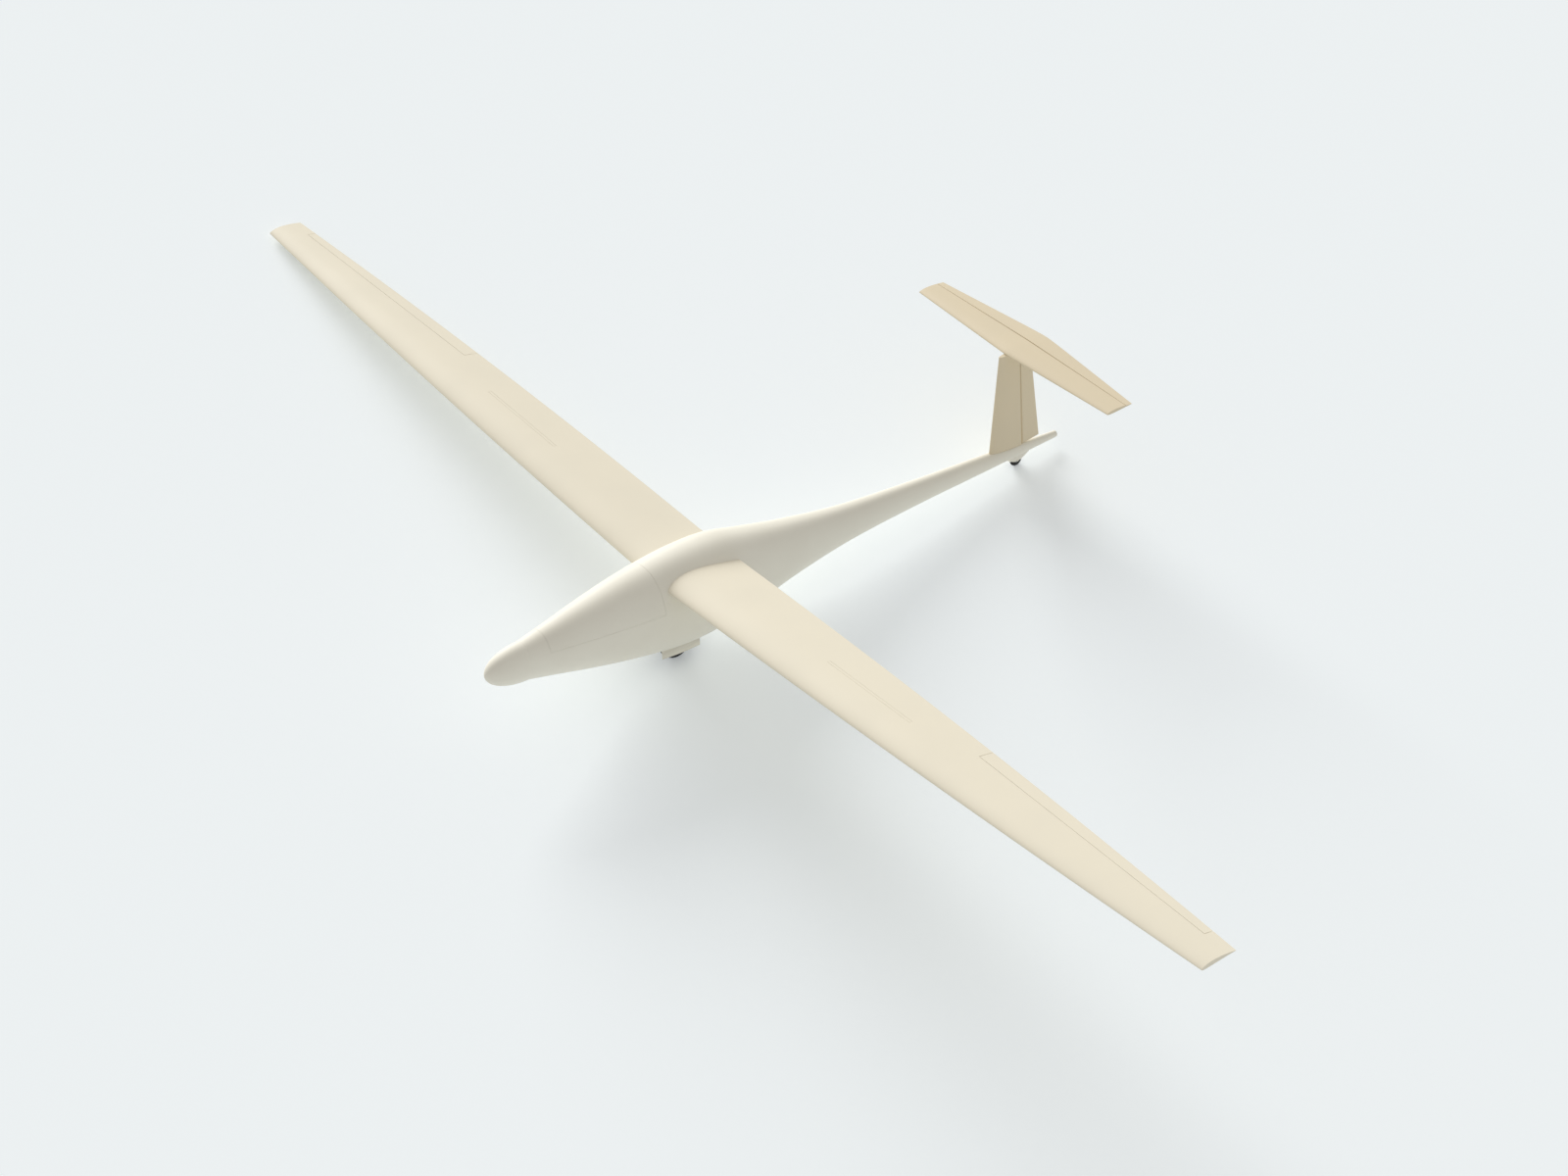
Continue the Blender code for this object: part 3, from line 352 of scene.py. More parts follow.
shell = lofted([body_ring(y) for y in spread(NOSE_LENGTH, BOOM_JOINT, 62)])
opened(shell, (-1, HOOD_FRONT, SILL_Z), (1, HOOD_REAR, 1), "YZ")
opened(shell, (-BAY_HALF_WIDTH, BAY_FRONT, BELLY_Z), (BAY_HALF_WIDTH, BAY_REAR, BAY_TOP), "XY")
rounded(walled(shell, WALL), TRIMMED_EDGE,
        where=lambda point: NOSE_LENGTH + SEAM < point.y < BOOM_JOINT - SEAM)
add_piece("shell_skin", shell, "airframe", body_finish, ["fuselage_shell"])

# Tail boom: the same fibre moulding carried aft under the same gelcoat, with a thinner wall. It has a
# rounded end and a slot for the tail wheel, and is bonded to the shell.
BOOM_END = OFFSETS[-1][0]
TAIL_WHEEL = Vector((0, 6.62, -0.285))
TAIL_SLOT_HALF = 0.026
TAIL_SLOT_REACH = 0.066
TAIL_SLOT_LOW = -0.30
TAIL_SLOT_HIGH = -0.19
BOOM_WALL = WALL * 0.6
BOOM_END_RADIUS = 0.012

boom = lofted([body_ring(y) for y in spread(BOOM_JOINT + TOUCH, BOOM_END, 72)])
opened(boom, (-TAIL_SLOT_HALF, TAIL_WHEEL.y - TAIL_SLOT_REACH, TAIL_SLOT_LOW),
       (TAIL_SLOT_HALF, TAIL_WHEEL.y + TAIL_SLOT_REACH, TAIL_SLOT_HIGH), "XY", 0.1)
end_loop = [edge for edge in boom.edges
            if edge.is_boundary and all(vert.co.y > BOOM_END - SEAM for vert in edge.verts)]
bmesh.ops.edgeloop_fill(boom, edges=end_loop)
bmesh.ops.bevel(boom, geom=end_loop, offset=BOOM_END_RADIUS, offset_type="OFFSET", segments=4, profile=0.5,
                affect="EDGES", material=-1)
rounded(walled(boom, BOOM_WALL), TRIMMED_EDGE,
        where=lambda point: BOOM_JOINT + SEAM < point.y < BOOM_END - 0.1)
add_piece("boom_skin", boom, "airframe", body_finish, ["tail_boom"])

# Nose cap: a separate fibre moulding in the same gelcoat, with a rounder tip. It is bonded to the front
# of the shell and meets it in a soft crease.
nose_stations = [NOSE_LENGTH * (1 - math.cos(angle)) for angle in spread(0.01, math.pi / 2, 30)]
nose = lofted([body_ring(y) for y in nose_stations[:-1]] + [body_ring(NOSE_LENGTH - TOUCH)])
tip_loop = [edge for edge in nose.edges
            if edge.is_boundary and all(vert.co.y < 0.1 for vert in edge.verts)]
bmesh.ops.edgeloop_fill(nose, edges=tip_loop)
add_piece("nose_skin", walled(nose, WALL), "airframe", body_finish, ["nose_cap"])

# Cockpit hood: the whole top of the cockpit in one opaque fibre moulding, in the body's gelcoat. It is
# hinged on the pilot's right and lies in the shell's opening with a narrow seam all round.
HOOD_MARGIN = 0.05          # how far the skin reaches past the opening before it is cut


def hood_form(grow, inset):
    """The top of the body between the opening's edges, grown, and drawn in from the edges."""
    stations = spread(HOOD_FRONT - HOOD_MARGIN, HOOD_REAR + HOOD_MARGIN, 40)
    bm = lofted([body_ring(y, grow) for y in stations])
    low = (-1, HOOD_FRONT + inset, SILL_Z + inset)
    kept = set(cut_to_box(bm, low, (1, HOOD_REAR - inset, 1), "YZ"))
    bmesh.ops.delete(bm, geom=[face for face in bm.faces if face not in kept], context="FACES")
    return bm


hood = rounded(walled(hood_form(0.0, SHUT_LINE), WALL), 0.001)
add_piece("hood_skin", hood, "hood", body_finish, ["cockpit_hood"])

# Wing: a hollow fibre moulding in cream gelcoat with a straight taper, bowed a little along both edges.
# Each half carries an aileron in a notch of the trailing edge and an airbrake in a slot of the upper skin.
HALF_SPAN = 7.5
WING_ROOT_X = 0.34
WING_ROOT_LE = 1.932
WING_ROOT_TE = 2.799
WING_TIP_LE = 2.119
WING_TIP_TE = 2.511
WING_LE_BOW = 0.159
WING_TE_BOW = -0.261
WING_ROOT_Z = 0.251
WING_TIP_Z = 0.560
WING_THICKNESS = 0.13
WING_CAMBER = 0.04
WING_EMBED = 0.004
WING_EDGE = 0.001
AILERON_INNER = 4.2
AILERON_OUTER = 7.2
AILERON_HINGE = 0.76
BRAKE_INNER = 2.25
BRAKE_OUTER = 3.45
BRAKE_Y = 2.36
BRAKE_DEPTH = 0.070
BRAKE_BLADE = 0.008
BRAKE_CAP = 0.030
BRAKE_CAP_DEPTH = 0.005
BRAKE_CAP_GAP = 0.010
WING_COLOUR = (0.835, 0.775, 0.63, 1)
WING_WORN = (0.80, 0.745, 0.61, 1)


def bowed(root, tip, bow, share):
    return root + (tip - root - bow) * share + bow * share * share


def wing_gelcoat(point):
    """Cream gelcoat, matted along the leading edge where rain and insects wear it."""
    _, x, y, _ = levelled(point)
    share = x.maths("ABSOLUTE") / HALF_SPAN
    lead = bowed(WING_ROOT_LE, WING_TIP_LE, WING_LE_BOW, share)
    trail = bowed(WING_ROOT_TE, WING_TIP_TE, WING_TE_BOW, share)
    chordwise = (y - lead) / (trail - lead)
    return gelcoat(point, WING_COLOUR, WING_WORN, 1 - eased(chordwise, 0.0, 0.06))


wing_finish = finish("wing_gelcoat", {"Specular IOR Level": 0.2}, wing_gelcoat)


def wing_lead(x):
    return bowed(WING_ROOT_LE, WING_TIP_LE, WING_LE_BOW, abs(x) / HALF_SPAN)


def wing_chord(x):
    return bowed(WING_ROOT_TE, WING_TIP_TE, WING_TE_BOW, abs(x) / HALF_SPAN) - wing_lead(x)


def airfoil(thickness, camber, chordwise):
    """Upper and lower height at a share of the chord: the four-digit section, crest of camber at 40%."""
    chordwise = min(max(chordwise, 0.0), 1.0)
    half = 5 * thickness * (0.2969 * math.sqrt(chordwise) - 0.1260 * chordwise - 0.3516 * chordwise ** 2
                            + 0.2843 * chordwise ** 3 - 0.1015 * chordwise ** 4)
    crest = 0.4
    if chordwise < crest:
        middle = camber / crest ** 2 * (2 * crest * chordwise - chordwise ** 2)
    else:
        middle = camber / (1 - crest) ** 2 * ((1 - 2 * crest) + 2 * crest * chordwise - chordwise ** 2)
    return middle + half, middle - half


def wing_heights(x, y):
    """Height of the wing's upper and lower skin."""
    lead, chord = wing_lead(x), wing_chord(x)
    base = WING_ROOT_Z + (WING_TIP_Z - WING_ROOT_Z) * abs(x) / HALF_SPAN
    return [base + chord * height for height in airfoil(WING_THICKNESS, WING_CAMBER, (y - lead) / chord)]


def aileron_hinge(x):
    """The hinge line, straight between its two ends, just under the upper skin."""
    ends = []
    for end in (AILERON_INNER, AILERON_OUTER):
        y = wing_lead(end) + AILERON_HINGE * wing_chord(end)
        ends.append(Vector((end, y, wing_heights(end, y)[0] - SEAM)))
    return ends[0].lerp(ends[1], (x - AILERON_INNER) / (AILERON_OUTER - AILERON_INNER))


def nose_points(lead, hinge, count):
    """Distances aft from a leading edge to a hinge line, closer together at the leading edge."""
    return [lead + (hinge - lead) * (1 - math.cos(math.pi / 2 * step)) for step in spread(0, 1, count)]


def closed(ring):
    return ring + ring[:1]


def skin_ring(x, distances, heights):
    """A section across a surface: forwards along its upper skin and back along the lower one."""
    ring = [(x, y, heights(x, y)[0]) for y in reversed(distances)]
    ring += [(x, y, heights(x, y)[1]) for y in distances[1:]]
    return closed(ring)


def body_half_width(y, z):
    half_width, centre_z, half_height = body_section(y)
    height = min(abs((z - centre_z) / half_height), 1)
    return half_width * (1 - height ** SECTION_FULLNESS) ** (1 / SECTION_FULLNESS)


def wing_ring(x, root=False):
    lead, chord = wing_lead(x), wing_chord(x)
    in_notch = AILERON_INNER - 2 * SEAM < x < AILERON_OUTER + 2 * SEAM
    hinge = aileron_hinge(x).y if in_notch else lead + AILERON_HINGE * chord
    distances = nose_points(lead, hinge, 35)[:-1] + spread(hinge, lead + chord, 11)
    ring = skin_ring(x, distances, wing_heights)
    if root:
        ring = [(body_half_width(y, z) - WING_EMBED, y, z) for x, y, z in ring]
    return ring


def half_wing():
    """The left half of the wing as a closed skin, with the aileron's notch and the airbrake's slot."""
    notch = (AILERON_INNER - SEAM, AILERON_OUTER + SEAM)
    stations = []
    for start, end, count in ((WING_ROOT_X + 0.08, BRAKE_INNER, 14), (BRAKE_INNER, BRAKE_OUTER, 11),
                              (BRAKE_OUTER, notch[0], 8), (*notch, 22)):
        stations += spread(start, end, count)[:-1]
    stations += spread(notch[1], HALF_SPAN, 4)
    bm = lofted([wing_ring(WING_ROOT_X, root=True)] + [wing_ring(x) for x in stations], capped=True)
    aft = []
    for face in bm.faces:
        centre = face.calc_center_median()
        if notch[0] < centre.x < notch[1] and centre.y > aileron_hinge(centre.x).y + 1e-4:
            aft.append(face)
    bmesh.ops.delete(bm, geom=aft, context="FACES")

    def on_hinge(vert):
        return abs(vert.co.y - aileron_hinge(vert.co.x).y) < 1e-4

    def at_end(vert, end):
        return abs(vert.co.x - end) < 1e-4

    for end in notch:
        bm.edges.new([vert for vert in bm.verts if vert.is_boundary and at_end(vert, end) and on_hinge(vert)])
    rim = [edge for edge in bm.edges if not edge.link_faces or edge.is_boundary]
    walls = [[edge for edge in rim if all(at_end(vert, end) for vert in edge.verts)] for end in notch]
    walls.append([edge for edge in rim if all(on_hinge(vert) for vert in edge.verts)])
    for wall in walls:
        bmesh.ops.edgeloop_fill(bm, edges=wall)

    top = wing_heights(BRAKE_INNER, BRAKE_Y)[0]
    cap_seat = BRAKE_CAP_DEPTH + BRAKE_CAP_GAP
    for half, depth in ((BRAKE_CAP / 2 + SHUT_LINE, cap_seat),
                        (BRAKE_BLADE / 2 + 2 * SHUT_LINE, BRAKE_DEPTH - cap_seat + SEAM)):
        floor = cut_to_box(bm, (BRAKE_INNER, BRAKE_Y - half, top - 0.03), (BRAKE_OUTER, BRAKE_Y + half, 1),
                           "XY", 0.15)
        sunk = bmesh.ops.extrude_face_region(bm, geom=floor)["geom"]
        bmesh.ops.delete(bm, geom=floor, context="FACES")
        bmesh.ops.translate(bm, verts=[item for item in sunk if isinstance(item, bmesh.types.BMVert)],
                            vec=(0, 0, -depth))
    bmesh.ops.recalc_face_normals(bm, faces=bm.faces)
    return bm


def mirrored(bm, side):
    """The shape on its own side of the aircraft, with its faces still pointing outwards."""
    bmesh.ops.transform(bm, matrix=Matrix.Diagonal((side, 1, 1, 1)), verts=bm.verts)
    if side < 0:
        bmesh.ops.reverse_faces(bm, faces=bm.faces)
    return bm


for side, label in SIDES:
    half = mirrored(rounded(half_wing(), WING_EDGE), side)
    add_piece("wing_skin_" + label, half, "airframe", wing_finish, ["wing_" + label])

# Airbrakes: an alloy blade in a slot of the wing, with pressed panels along it, under a strip of the
# wing's own skin that closes the slot when the blade is down.
BLADE_PANEL = (0.007, 0.004, -0.002)
BRAKE_EDGE = 0.0005


def facing(bm, direction):
    """Turns an open skin's faces towards a direction."""
    bm.normal_update()
    if sum(face.normal.dot(Vector(direction)) for face in bm.faces) < 0:
        bmesh.ops.reverse_faces(bm, faces=bm.faces)
    return bm


def pressed(rows, direction, thickness):
    """A thin sheet laid on rows, whose outer side looks in a direction."""
    bm = facing(lofted(rows), direction)
    bmesh.ops.solidify(bm, geom=bm.faces, thickness=thickness)
    return bm


def panelled(bm, faces, panel, inset=bmesh.ops.inset_individual):
    """Presses a panel into faces: the widths of its flat rim and of its step, and how far it is raised."""
    rim, step, depth = panel
    inset(bm, faces=faces, thickness=rim, depth=0.0)
    inset(bm, faces=faces, thickness=step, depth=depth)
    return bm


def turned_alloy(point):
    fine = noise(point, 420.0, 2.0)
    stain = eased(noise(point, 40.0, 3.0), 0.45, 0.8)
    return {"Base Color": mixed(stain, (0.62, 0.63, 0.64, 1), (0.47, 0.46, 0.44, 1)),
            "Roughness": 0.34 + stain * 0.18, "Normal": bumped(fine, 0.0001, 0.4)}


alloy_finish = finish("turned_alloy", {"Metallic": 1.0}, turned_alloy)

for side, label in SIDES:
    rows = []
    for x in spread(BRAKE_INNER + SHUT_LINE / 2, BRAKE_OUTER - SHUT_LINE / 2, 25):
        rows.append([(x, y, wing_heights(x, y)[0])
                     for y in spread(BRAKE_Y - BRAKE_CAP / 2, BRAKE_Y + BRAKE_CAP / 2, 7)])
    cap = rounded(pressed(rows, (0, 0, 1), BRAKE_CAP_DEPTH), BRAKE_EDGE)
    add_piece("airbrake_cap_" + label, mirrored(cap, side), label + "_airbrake", wing_finish,
              ["airbrake_" + label])
    sections = []
    for x in spread(BRAKE_INNER + SHUT_LINE, BRAKE_OUTER - SHUT_LINE, 13):
        top = wing_heights(x, BRAKE_Y)[0]
        half, under_cap = BRAKE_BLADE / 2, BRAKE_CAP_DEPTH - TOUCH
        sections.append(closed([(x, BRAKE_Y + y, top - depth) for y, depth in (
            (-half, under_cap), (-half, BRAKE_DEPTH), (half, BRAKE_DEPTH), (half, under_cap))]))
    blade = lofted(sections, capped=True)
    panelled(blade, [face for face in blade.faces if abs(face.normal.y) > 0.9], BLADE_PANEL)
    add_piece("airbrake_blade_" + label, mirrored(rounded(blade, BRAKE_EDGE), side), label + "_airbrake",
              alloy_finish)

# Control surfaces: each is closed in front by a blunt edge that faces the hinge line across a narrow gap,
# and is built from the same section as the surface that carries it.
HINGE_GAP = 0.0035
PIN_RADIUS = 0.0029
PIN_LENGTH = 0.035
SURFACE_EDGE = 0.0008
AILERON_SLOPE = math.tan(math.radians(22))


def meeting_point(skin, hinge_y, hinge_z, slope):
    """Where a sloping front face, which starts at the hinge, comes out through a skin."""
    y = hinge_y + HINGE_GAP
    for _ in range(6):
        y = hinge_y + HINGE_GAP + slope * abs(skin(y) - hinge_z)
    return y


def surface_ring(upper, lower, trail, hinge, slopes, place):
    """The section of a control surface from its trailing edge round the nose and back."""
    hinge_y, hinge_z = hinge
    top_y = meeting_point(upper, hinge_y, hinge_z, slopes[0])
    bottom_y = meeting_point(lower, hinge_y, hinge_z, slopes[1])
    ring = [place(y, upper(y)) for y in spread(trail, top_y, 16)]
    ring.append(place(hinge_y + HINGE_GAP, hinge_z))
    ring += [place(y, lower(y)) for y in spread(bottom_y, trail, 16)]
    return closed(ring)


def add_rod(bm, start, end, radius, sides=32, end_radius=None):
    start, end = Vector(start), Vector(end)
    turn = (end - start).to_track_quat("Z", "Y").to_matrix().to_4x4()
    bmesh.ops.create_cone(bm, cap_ends=True, segments=sides, radius1=radius,
                          radius2=radius if end_radius is None else end_radius,
                          depth=(end - start).length, matrix=Matrix.Translation((start + end) / 2) @ turn)


def hinge_pins(name, start, end, side=1):
    """Four steel pins on the hinge line, which show in the gap."""
    pins = bmesh.new()
    for share in (0.08, 0.36, 0.64, 0.92):
        middle = start.lerp(end, share)
        half = (end - start).normalized() * PIN_LENGTH / 2
        add_rod(pins, middle - half, middle + half, PIN_RADIUS, 20)
    add_piece(name, mirrored(rounded(pins, 0.0005), side), "airframe", alloy_finish)


def half_aileron():
    sections = []
    for x in spread(AILERON_INNER, AILERON_OUTER, 24):
        hinge = aileron_hinge(x)
        sections.append(surface_ring(lambda y: wing_heights(x, y)[0], lambda y: wing_heights(x, y)[1],
                                     wing_lead(x) + wing_chord(x), hinge.yz, (0, AILERON_SLOPE),
                                     lambda y, z: (x, y, z)))
    return lofted(sections, capped=True)


for side, label in SIDES:
    surface = mirrored(rounded(half_aileron(), SURFACE_EDGE), side)
    add_piece("aileron_skin_" + label, surface, label + "_aileron", wing_finish, ["aileron_" + label])
    hinge_pins("aileron_pins_" + label, aileron_hinge(AILERON_INNER), aileron_hinge(AILERON_OUTER), side)

# Fin and rudder: a straight-tapered symmetrical section in tan gelcoat. The rudder hangs behind it from
# just above the boom to just under the tailplane. An edge runs from its foot (Y, Z) to its top (Y, Z).
FIN_LE = (6.247, -0.063, 6.324, 1.099)
FIN_TE = (6.927, -0.099, 6.741, 1.090)
FIN_FOOT_Z = -0.06
FIN_THICKNESS = 0.12
FIN_TOP_Z = 1.085
RUDDER_HINGE = 0.62
RUDDER_TOP_Z = 1.062
RUDDER_PIN_Z = 0.02
RUDDER_SLOPE = math.tan(math.radians(33))
RUDDER_BODY_GAP = 0.008
TAIL_COLOUR = (0.745, 0.645, 0.465, 1)
TAIL_WORN = (0.715, 0.625, 0.46, 1)


def tail_gelcoat(point):
    """Tan gelcoat, with a little of the filler showing through where it was sanded."""
    level = levelled(point)[0]
    sanded = eased(noise(level, 6.0, 2.0), 0.55, 0.8) * 0.4
    return gelcoat(point, TAIL_COLOUR, TAIL_WORN, sanded)


tail_finish = finish("tail_gelcoat", {"Specular IOR Level": 0.25}, tail_gelcoat)


def body_top(y):
    _, centre_z, half_height = body_section(y)
    return centre_z + half_height


def fin_edge(edge, z):
    y_low, z_low, y_high, z_high = edge
    return y_low + (y_high - y_low) * (z - z_low) / (z_high - z_low)


def fin_hinge(z):
    lead = fin_edge(FIN_LE, z)
    return lead + RUDDER_HINGE * (fin_edge(FIN_TE, z) - lead)


def fin_half_width(y, z):
    lead = fin_edge(FIN_LE, z)
    chord = fin_edge(FIN_TE, z) - lead
    return chord * airfoil(FIN_THICKNESS, 0.0, (y - lead) / chord)[0]


fin_sections = []
for share in spread(0, 1, 20):
    z = FIN_FOOT_Z + (FIN_TOP_Z - FIN_FOOT_Z) * share
    half = []
    for y in nose_points(fin_edge(FIN_LE, z), fin_hinge(z), 30):
        foot = body_top(y) - WING_EMBED
        level_z = foot + (FIN_TOP_Z - foot) * share
        half.append((fin_half_width(y, level_z), y, level_z))
    fin_sections.append(closed(half[::-1] + [(-x, y, z) for x, y, z in half[1:]]))
fin = rounded(lofted(fin_sections, capped=True), SURFACE_EDGE)
add_piece("fin_skin", fin, "airframe", tail_finish, ["fin"])

rudder_sections = []
for share in spread(0, 1, 16):
    foot = body_top(fin_hinge(0)) + RUDDER_BODY_GAP
    z = foot + (RUDDER_TOP_Z - foot) * share
    rudder_sections.append(surface_ring(
        lambda y: fin_half_width(y, z), lambda y: -fin_half_width(y, z), fin_edge(FIN_TE, z),
        (fin_hinge(z), 0), (RUDDER_SLOPE, RUDDER_SLOPE), lambda y, x: (x, y, z)))
rudder = rounded(lofted(rudder_sections, capped=True), SURFACE_EDGE)
add_piece("rudder_skin", rudder, "rudder", tail_finish, ["rudder"])
hinge_pins("rudder_pins", *[Vector((0, fin_hinge(z), z)) for z in (RUDDER_PIN_Z, RUDDER_TOP_Z)])

# Tailplane and elevator: one straight-tapered surface on top of the fin, whose trailing edge is rounded
# in the middle. The elevator is the whole part behind the hinge line.
TAIL_HALF_SPAN = 1.469
TAIL_Z = 1.095
TAIL_ROOT_LE = 6.403
TAIL_TIP_LE = 6.477
TAIL_ROOT_TE = 6.956
TAIL_TIP_TE = 6.798
TAIL_CENTRE_ROUND = 0.06
TAIL_THICKNESS = 0.11
TAIL_CAMBER = 0.02
ELEVATOR_HINGE_Y = 6.72
ELEVATOR_HINGE_Z = 1.103
ELEVATOR_SLOPE = math.tan(math.radians(25))


def tail_lead(x):
    return TAIL_ROOT_LE + (TAIL_TIP_LE - TAIL_ROOT_LE) * abs(x) / TAIL_HALF_SPAN


def tail_trail(x):
    share = math.hypot(x / TAIL_HALF_SPAN, TAIL_CENTRE_ROUND) - TAIL_CENTRE_ROUND
    return TAIL_ROOT_TE + (TAIL_TIP_TE - TAIL_ROOT_TE) * share


def tail_heights(x, y):
    lead = tail_lead(x)
    chord = tail_trail(x) - lead
    return [TAIL_Z + chord * height for height in airfoil(TAIL_THICKNESS, TAIL_CAMBER, (y - lead) / chord)]


tailplane_sections, elevator_sections = [], []
for x in spread(-TAIL_HALF_SPAN, TAIL_HALF_SPAN, 57):
    tailplane_sections.append(skin_ring(x, nose_points(tail_lead(x), ELEVATOR_HINGE_Y, 30), tail_heights))
    elevator_sections.append(surface_ring(
        lambda y: tail_heights(x, y)[0], lambda y: tail_heights(x, y)[1], tail_trail(x),
        (ELEVATOR_HINGE_Y, ELEVATOR_HINGE_Z), (ELEVATOR_SLOPE, ELEVATOR_SLOPE), lambda y, z: (x, y, z)))
for name, sections, body in (("tailplane", tailplane_sections, "airframe"),
                             ("elevator", elevator_sections, "elevator")):
    surface = rounded(lofted(sections, capped=True), SURFACE_EDGE)
    add_piece(name + "_skin", surface, body, tail_finish, [name])
hinge_pins("elevator_pins", *[Vector((x, ELEVATOR_HINGE_Y, ELEVATOR_HINGE_Z))
                              for x in (-TAIL_HALF_SPAN, TAIL_HALF_SPAN)])

# Wing tip skids: a moulded hard runner glued under each tip, bevelled along its lower edges and scuffed
# grey where it slides over the ground. Its depths are (distance aft, depth) pairs.
SKID_INSET = 0.07
SKID_HALF_WIDTH = 0.016
SKID_DEPTHS = ((2.20, 0.012), (2.22, 0.035), (2.26, 0.0495), (2.32, 0.0495), (2.38, 0.0295), (2.40, 0.012))
SKID_MIDDLE = 2.28
SKID_BEVEL = 0.6
SKID_TOP_Z = wing_heights(HALF_SPAN - SKID_INSET, SKID_MIDDLE)[1]


def skid_plastic(point):
    level, _, _, z = levelled(point)
    scratches = streaked(level, (900.0, 30.0, 900.0), 3.0)
    scuffed = eased(scratches, 0.42, 0.66) * (1 - eased(z, SKID_TOP_Z - 0.052, SKID_TOP_Z - 0.022))
    return {"Base Color": mixed(scuffed, (0.05, 0.05, 0.052, 1), (0.20, 0.195, 0.185, 1)),
            "Roughness": 0.5 + scuffed * 0.3,
            "Normal": bumped(scratches, 0.0004, 0.6)}


def both_sides(half):
    """An outline from one half of it; a point in the middle is used once."""
    return list(half) + [(-across, other) for across, other in reversed(half) if across]


skid_finish = finish("scuffed_skid", {"Specular IOR Level": 0.4}, skid_plastic)

for side, label in SIDES:
    skid_x = HALF_SPAN - SKID_INSET
    rings = []
    for y in spread(SKID_DEPTHS[0][0], SKID_DEPTHS[-1][0], 25):
        depth = curve_at(SKID_DEPTHS, y)[0]
        half = [(SKID_HALF_WIDTH, wing_heights(skid_x + SKID_HALF_WIDTH, y)[1] - SKID_TOP_Z + TOUCH),
                (SKID_HALF_WIDTH, -SKID_BEVEL * depth), (SKID_HALF_WIDTH / 2, -depth)]
        rings.append(closed([(skid_x + x, y, SKID_TOP_Z + z) for x, z in both_sides(half)]))
    skid = rounded(lofted(rings, capped=True), 0.002, angle=math.radians(18))
    add_piece("skid_" + label, mirrored(skid, side), "airframe", skid_finish, ["tip_skid_" + label])

# Main wheel: a grooved aircraft tyre on a two-part alloy hub, bolted together through its disc, with a
# steel brake disc on the right. Outlines are (distance from the middle, radius) pairs, and what is bolted
# on is (start, end, radius, sides) rods along the axle.
TYRE_RADIUS = 0.1783
TYRE_HALF_WIDTH = 0.0625
TYRE_SHOULDER = 0.046
TYRE_GROOVES = (0.010, 0.030)
GROOVE_DEPTH = 0.004
RIM_RADIUS = 0.078
AXLE_RADIUS = 0.014
WHEEL_STEPS = 96
BOLT_CIRCLE = 0.051
WHEEL_BOLT = ((0.0175, 0.0195, 0.0075, 32), (0.019, 0.025, 0.0058, 6), (0.024, 0.028, 0.0030, 16))


def add_cross_rod(bm, centre, start, end, radius, sides=32):
    """A rod across the aircraft, between two distances to the left of a centre."""
    add_rod(bm, centre + Vector((start, 0, 0)), centre + Vector((end, 0, 0)), radius, sides)


def add_bolted(bm, centre, side, rods):
    """Rods that stand out from a centre to one side."""
    for start, end, radius, sides in rods:
        add_cross_rod(bm, centre, side * start, side * end, radius, sides)


def add_turned(bm, outline, centre, steps=WHEEL_STEPS, axis=(1, 0, 0)):
    """Spins a closed outline of (distance along the axis, radius) points about the axis."""
    turn = Vector(axis).to_track_quat("X", "Z").to_matrix()
    verts = [bm.verts.new(Vector(centre) + turn @ Vector((along, 0, radius))) for along, radius in outline]
    edges = []
    for i, (along, radius) in enumerate(outline):
        following = outline[(i + 1) % len(outline)][1]
        if radius or following:
            edges.append(bm.edges.new((verts[i], verts[(i + 1) % len(verts)])))
    bmesh.ops.spin(bm, geom=verts + edges, cent=centre, axis=axis, angle=math.tau, steps=steps,
                   use_merge=True)
    bmesh.ops.remove_doubles(bm, verts=bm.verts, dist=1e-5)
    bmesh.ops.recalc_face_normals(bm, faces=bm.faces)


def around(centre, radius, count):
    """Points evenly round a circle about the axle."""
    angles = [math.tau * i / count for i in range(count)]
    return [centre + Vector((0, radius * math.cos(angle), radius * math.sin(angle))) for angle in angles]


def tyre_rubber(point):
    _, x, _, _ = levelled(point)
    tread = 1 - eased(x.maths("ABSOLUTE"), 0.040, 0.058)
    dust = eased(noise(point, 170.0, 4.0), 0.35, 0.8) * (tread * 0.7 + 0.3)
    return {"Base Color": mixed(dust, (0.020, 0.020, 0.021, 1), (0.066, 0.061, 0.053, 1)),
            "Roughness": 0.70 + dust * 0.2,
            "Normal": bumped(noise(point, 700.0, 2.0), 0.0002, 0.5)}


tyre_finish = finish("tyre_rubber", {"Specular IOR Level": 0.3}, tyre_rubber)


def crown(x):
    return TYRE_RADIUS - TYRE_SHOULDER + TYRE_SHOULDER * math.sqrt(1 - (x / TYRE_HALF_WIDTH) ** 2)


tread = [(0, crown(0))]
for groove in TYRE_GROOVES:
    for x, depth in ((-0.0030, 0), (-0.0022, GROOVE_DEPTH), (0.0022, GROOVE_DEPTH), (0.0030, 0)):
        tread.append((groove + x, crown(groove + x) - depth))
tread += [(x, crown(x)) for x in (0.040, 0.050, 0.056, 0.060)]
sidewall = [(0.0625, 0.140), (0.0638, 0.136), (0.0638, 0.132), (0.0625, 0.128), (0.061, 0.118),
            (0.0575, 0.104), (0.0535, 0.096), (0.0545, 0.093), (0.0540, 0.090), (0.0510, 0.087),
            (0.0450, 0.082), (0.040, RIM_RADIUS)]
half_tyre = [(-x, radius) for x, radius in reversed(tread + sidewall)]
tyre = bmesh.new()
add_turned(tyre, both_sides(half_tyre), MAIN_WHEEL)
add_piece("wheel_tyre", tyre, "main_wheel", tyre_finish, ["main_tyre"])

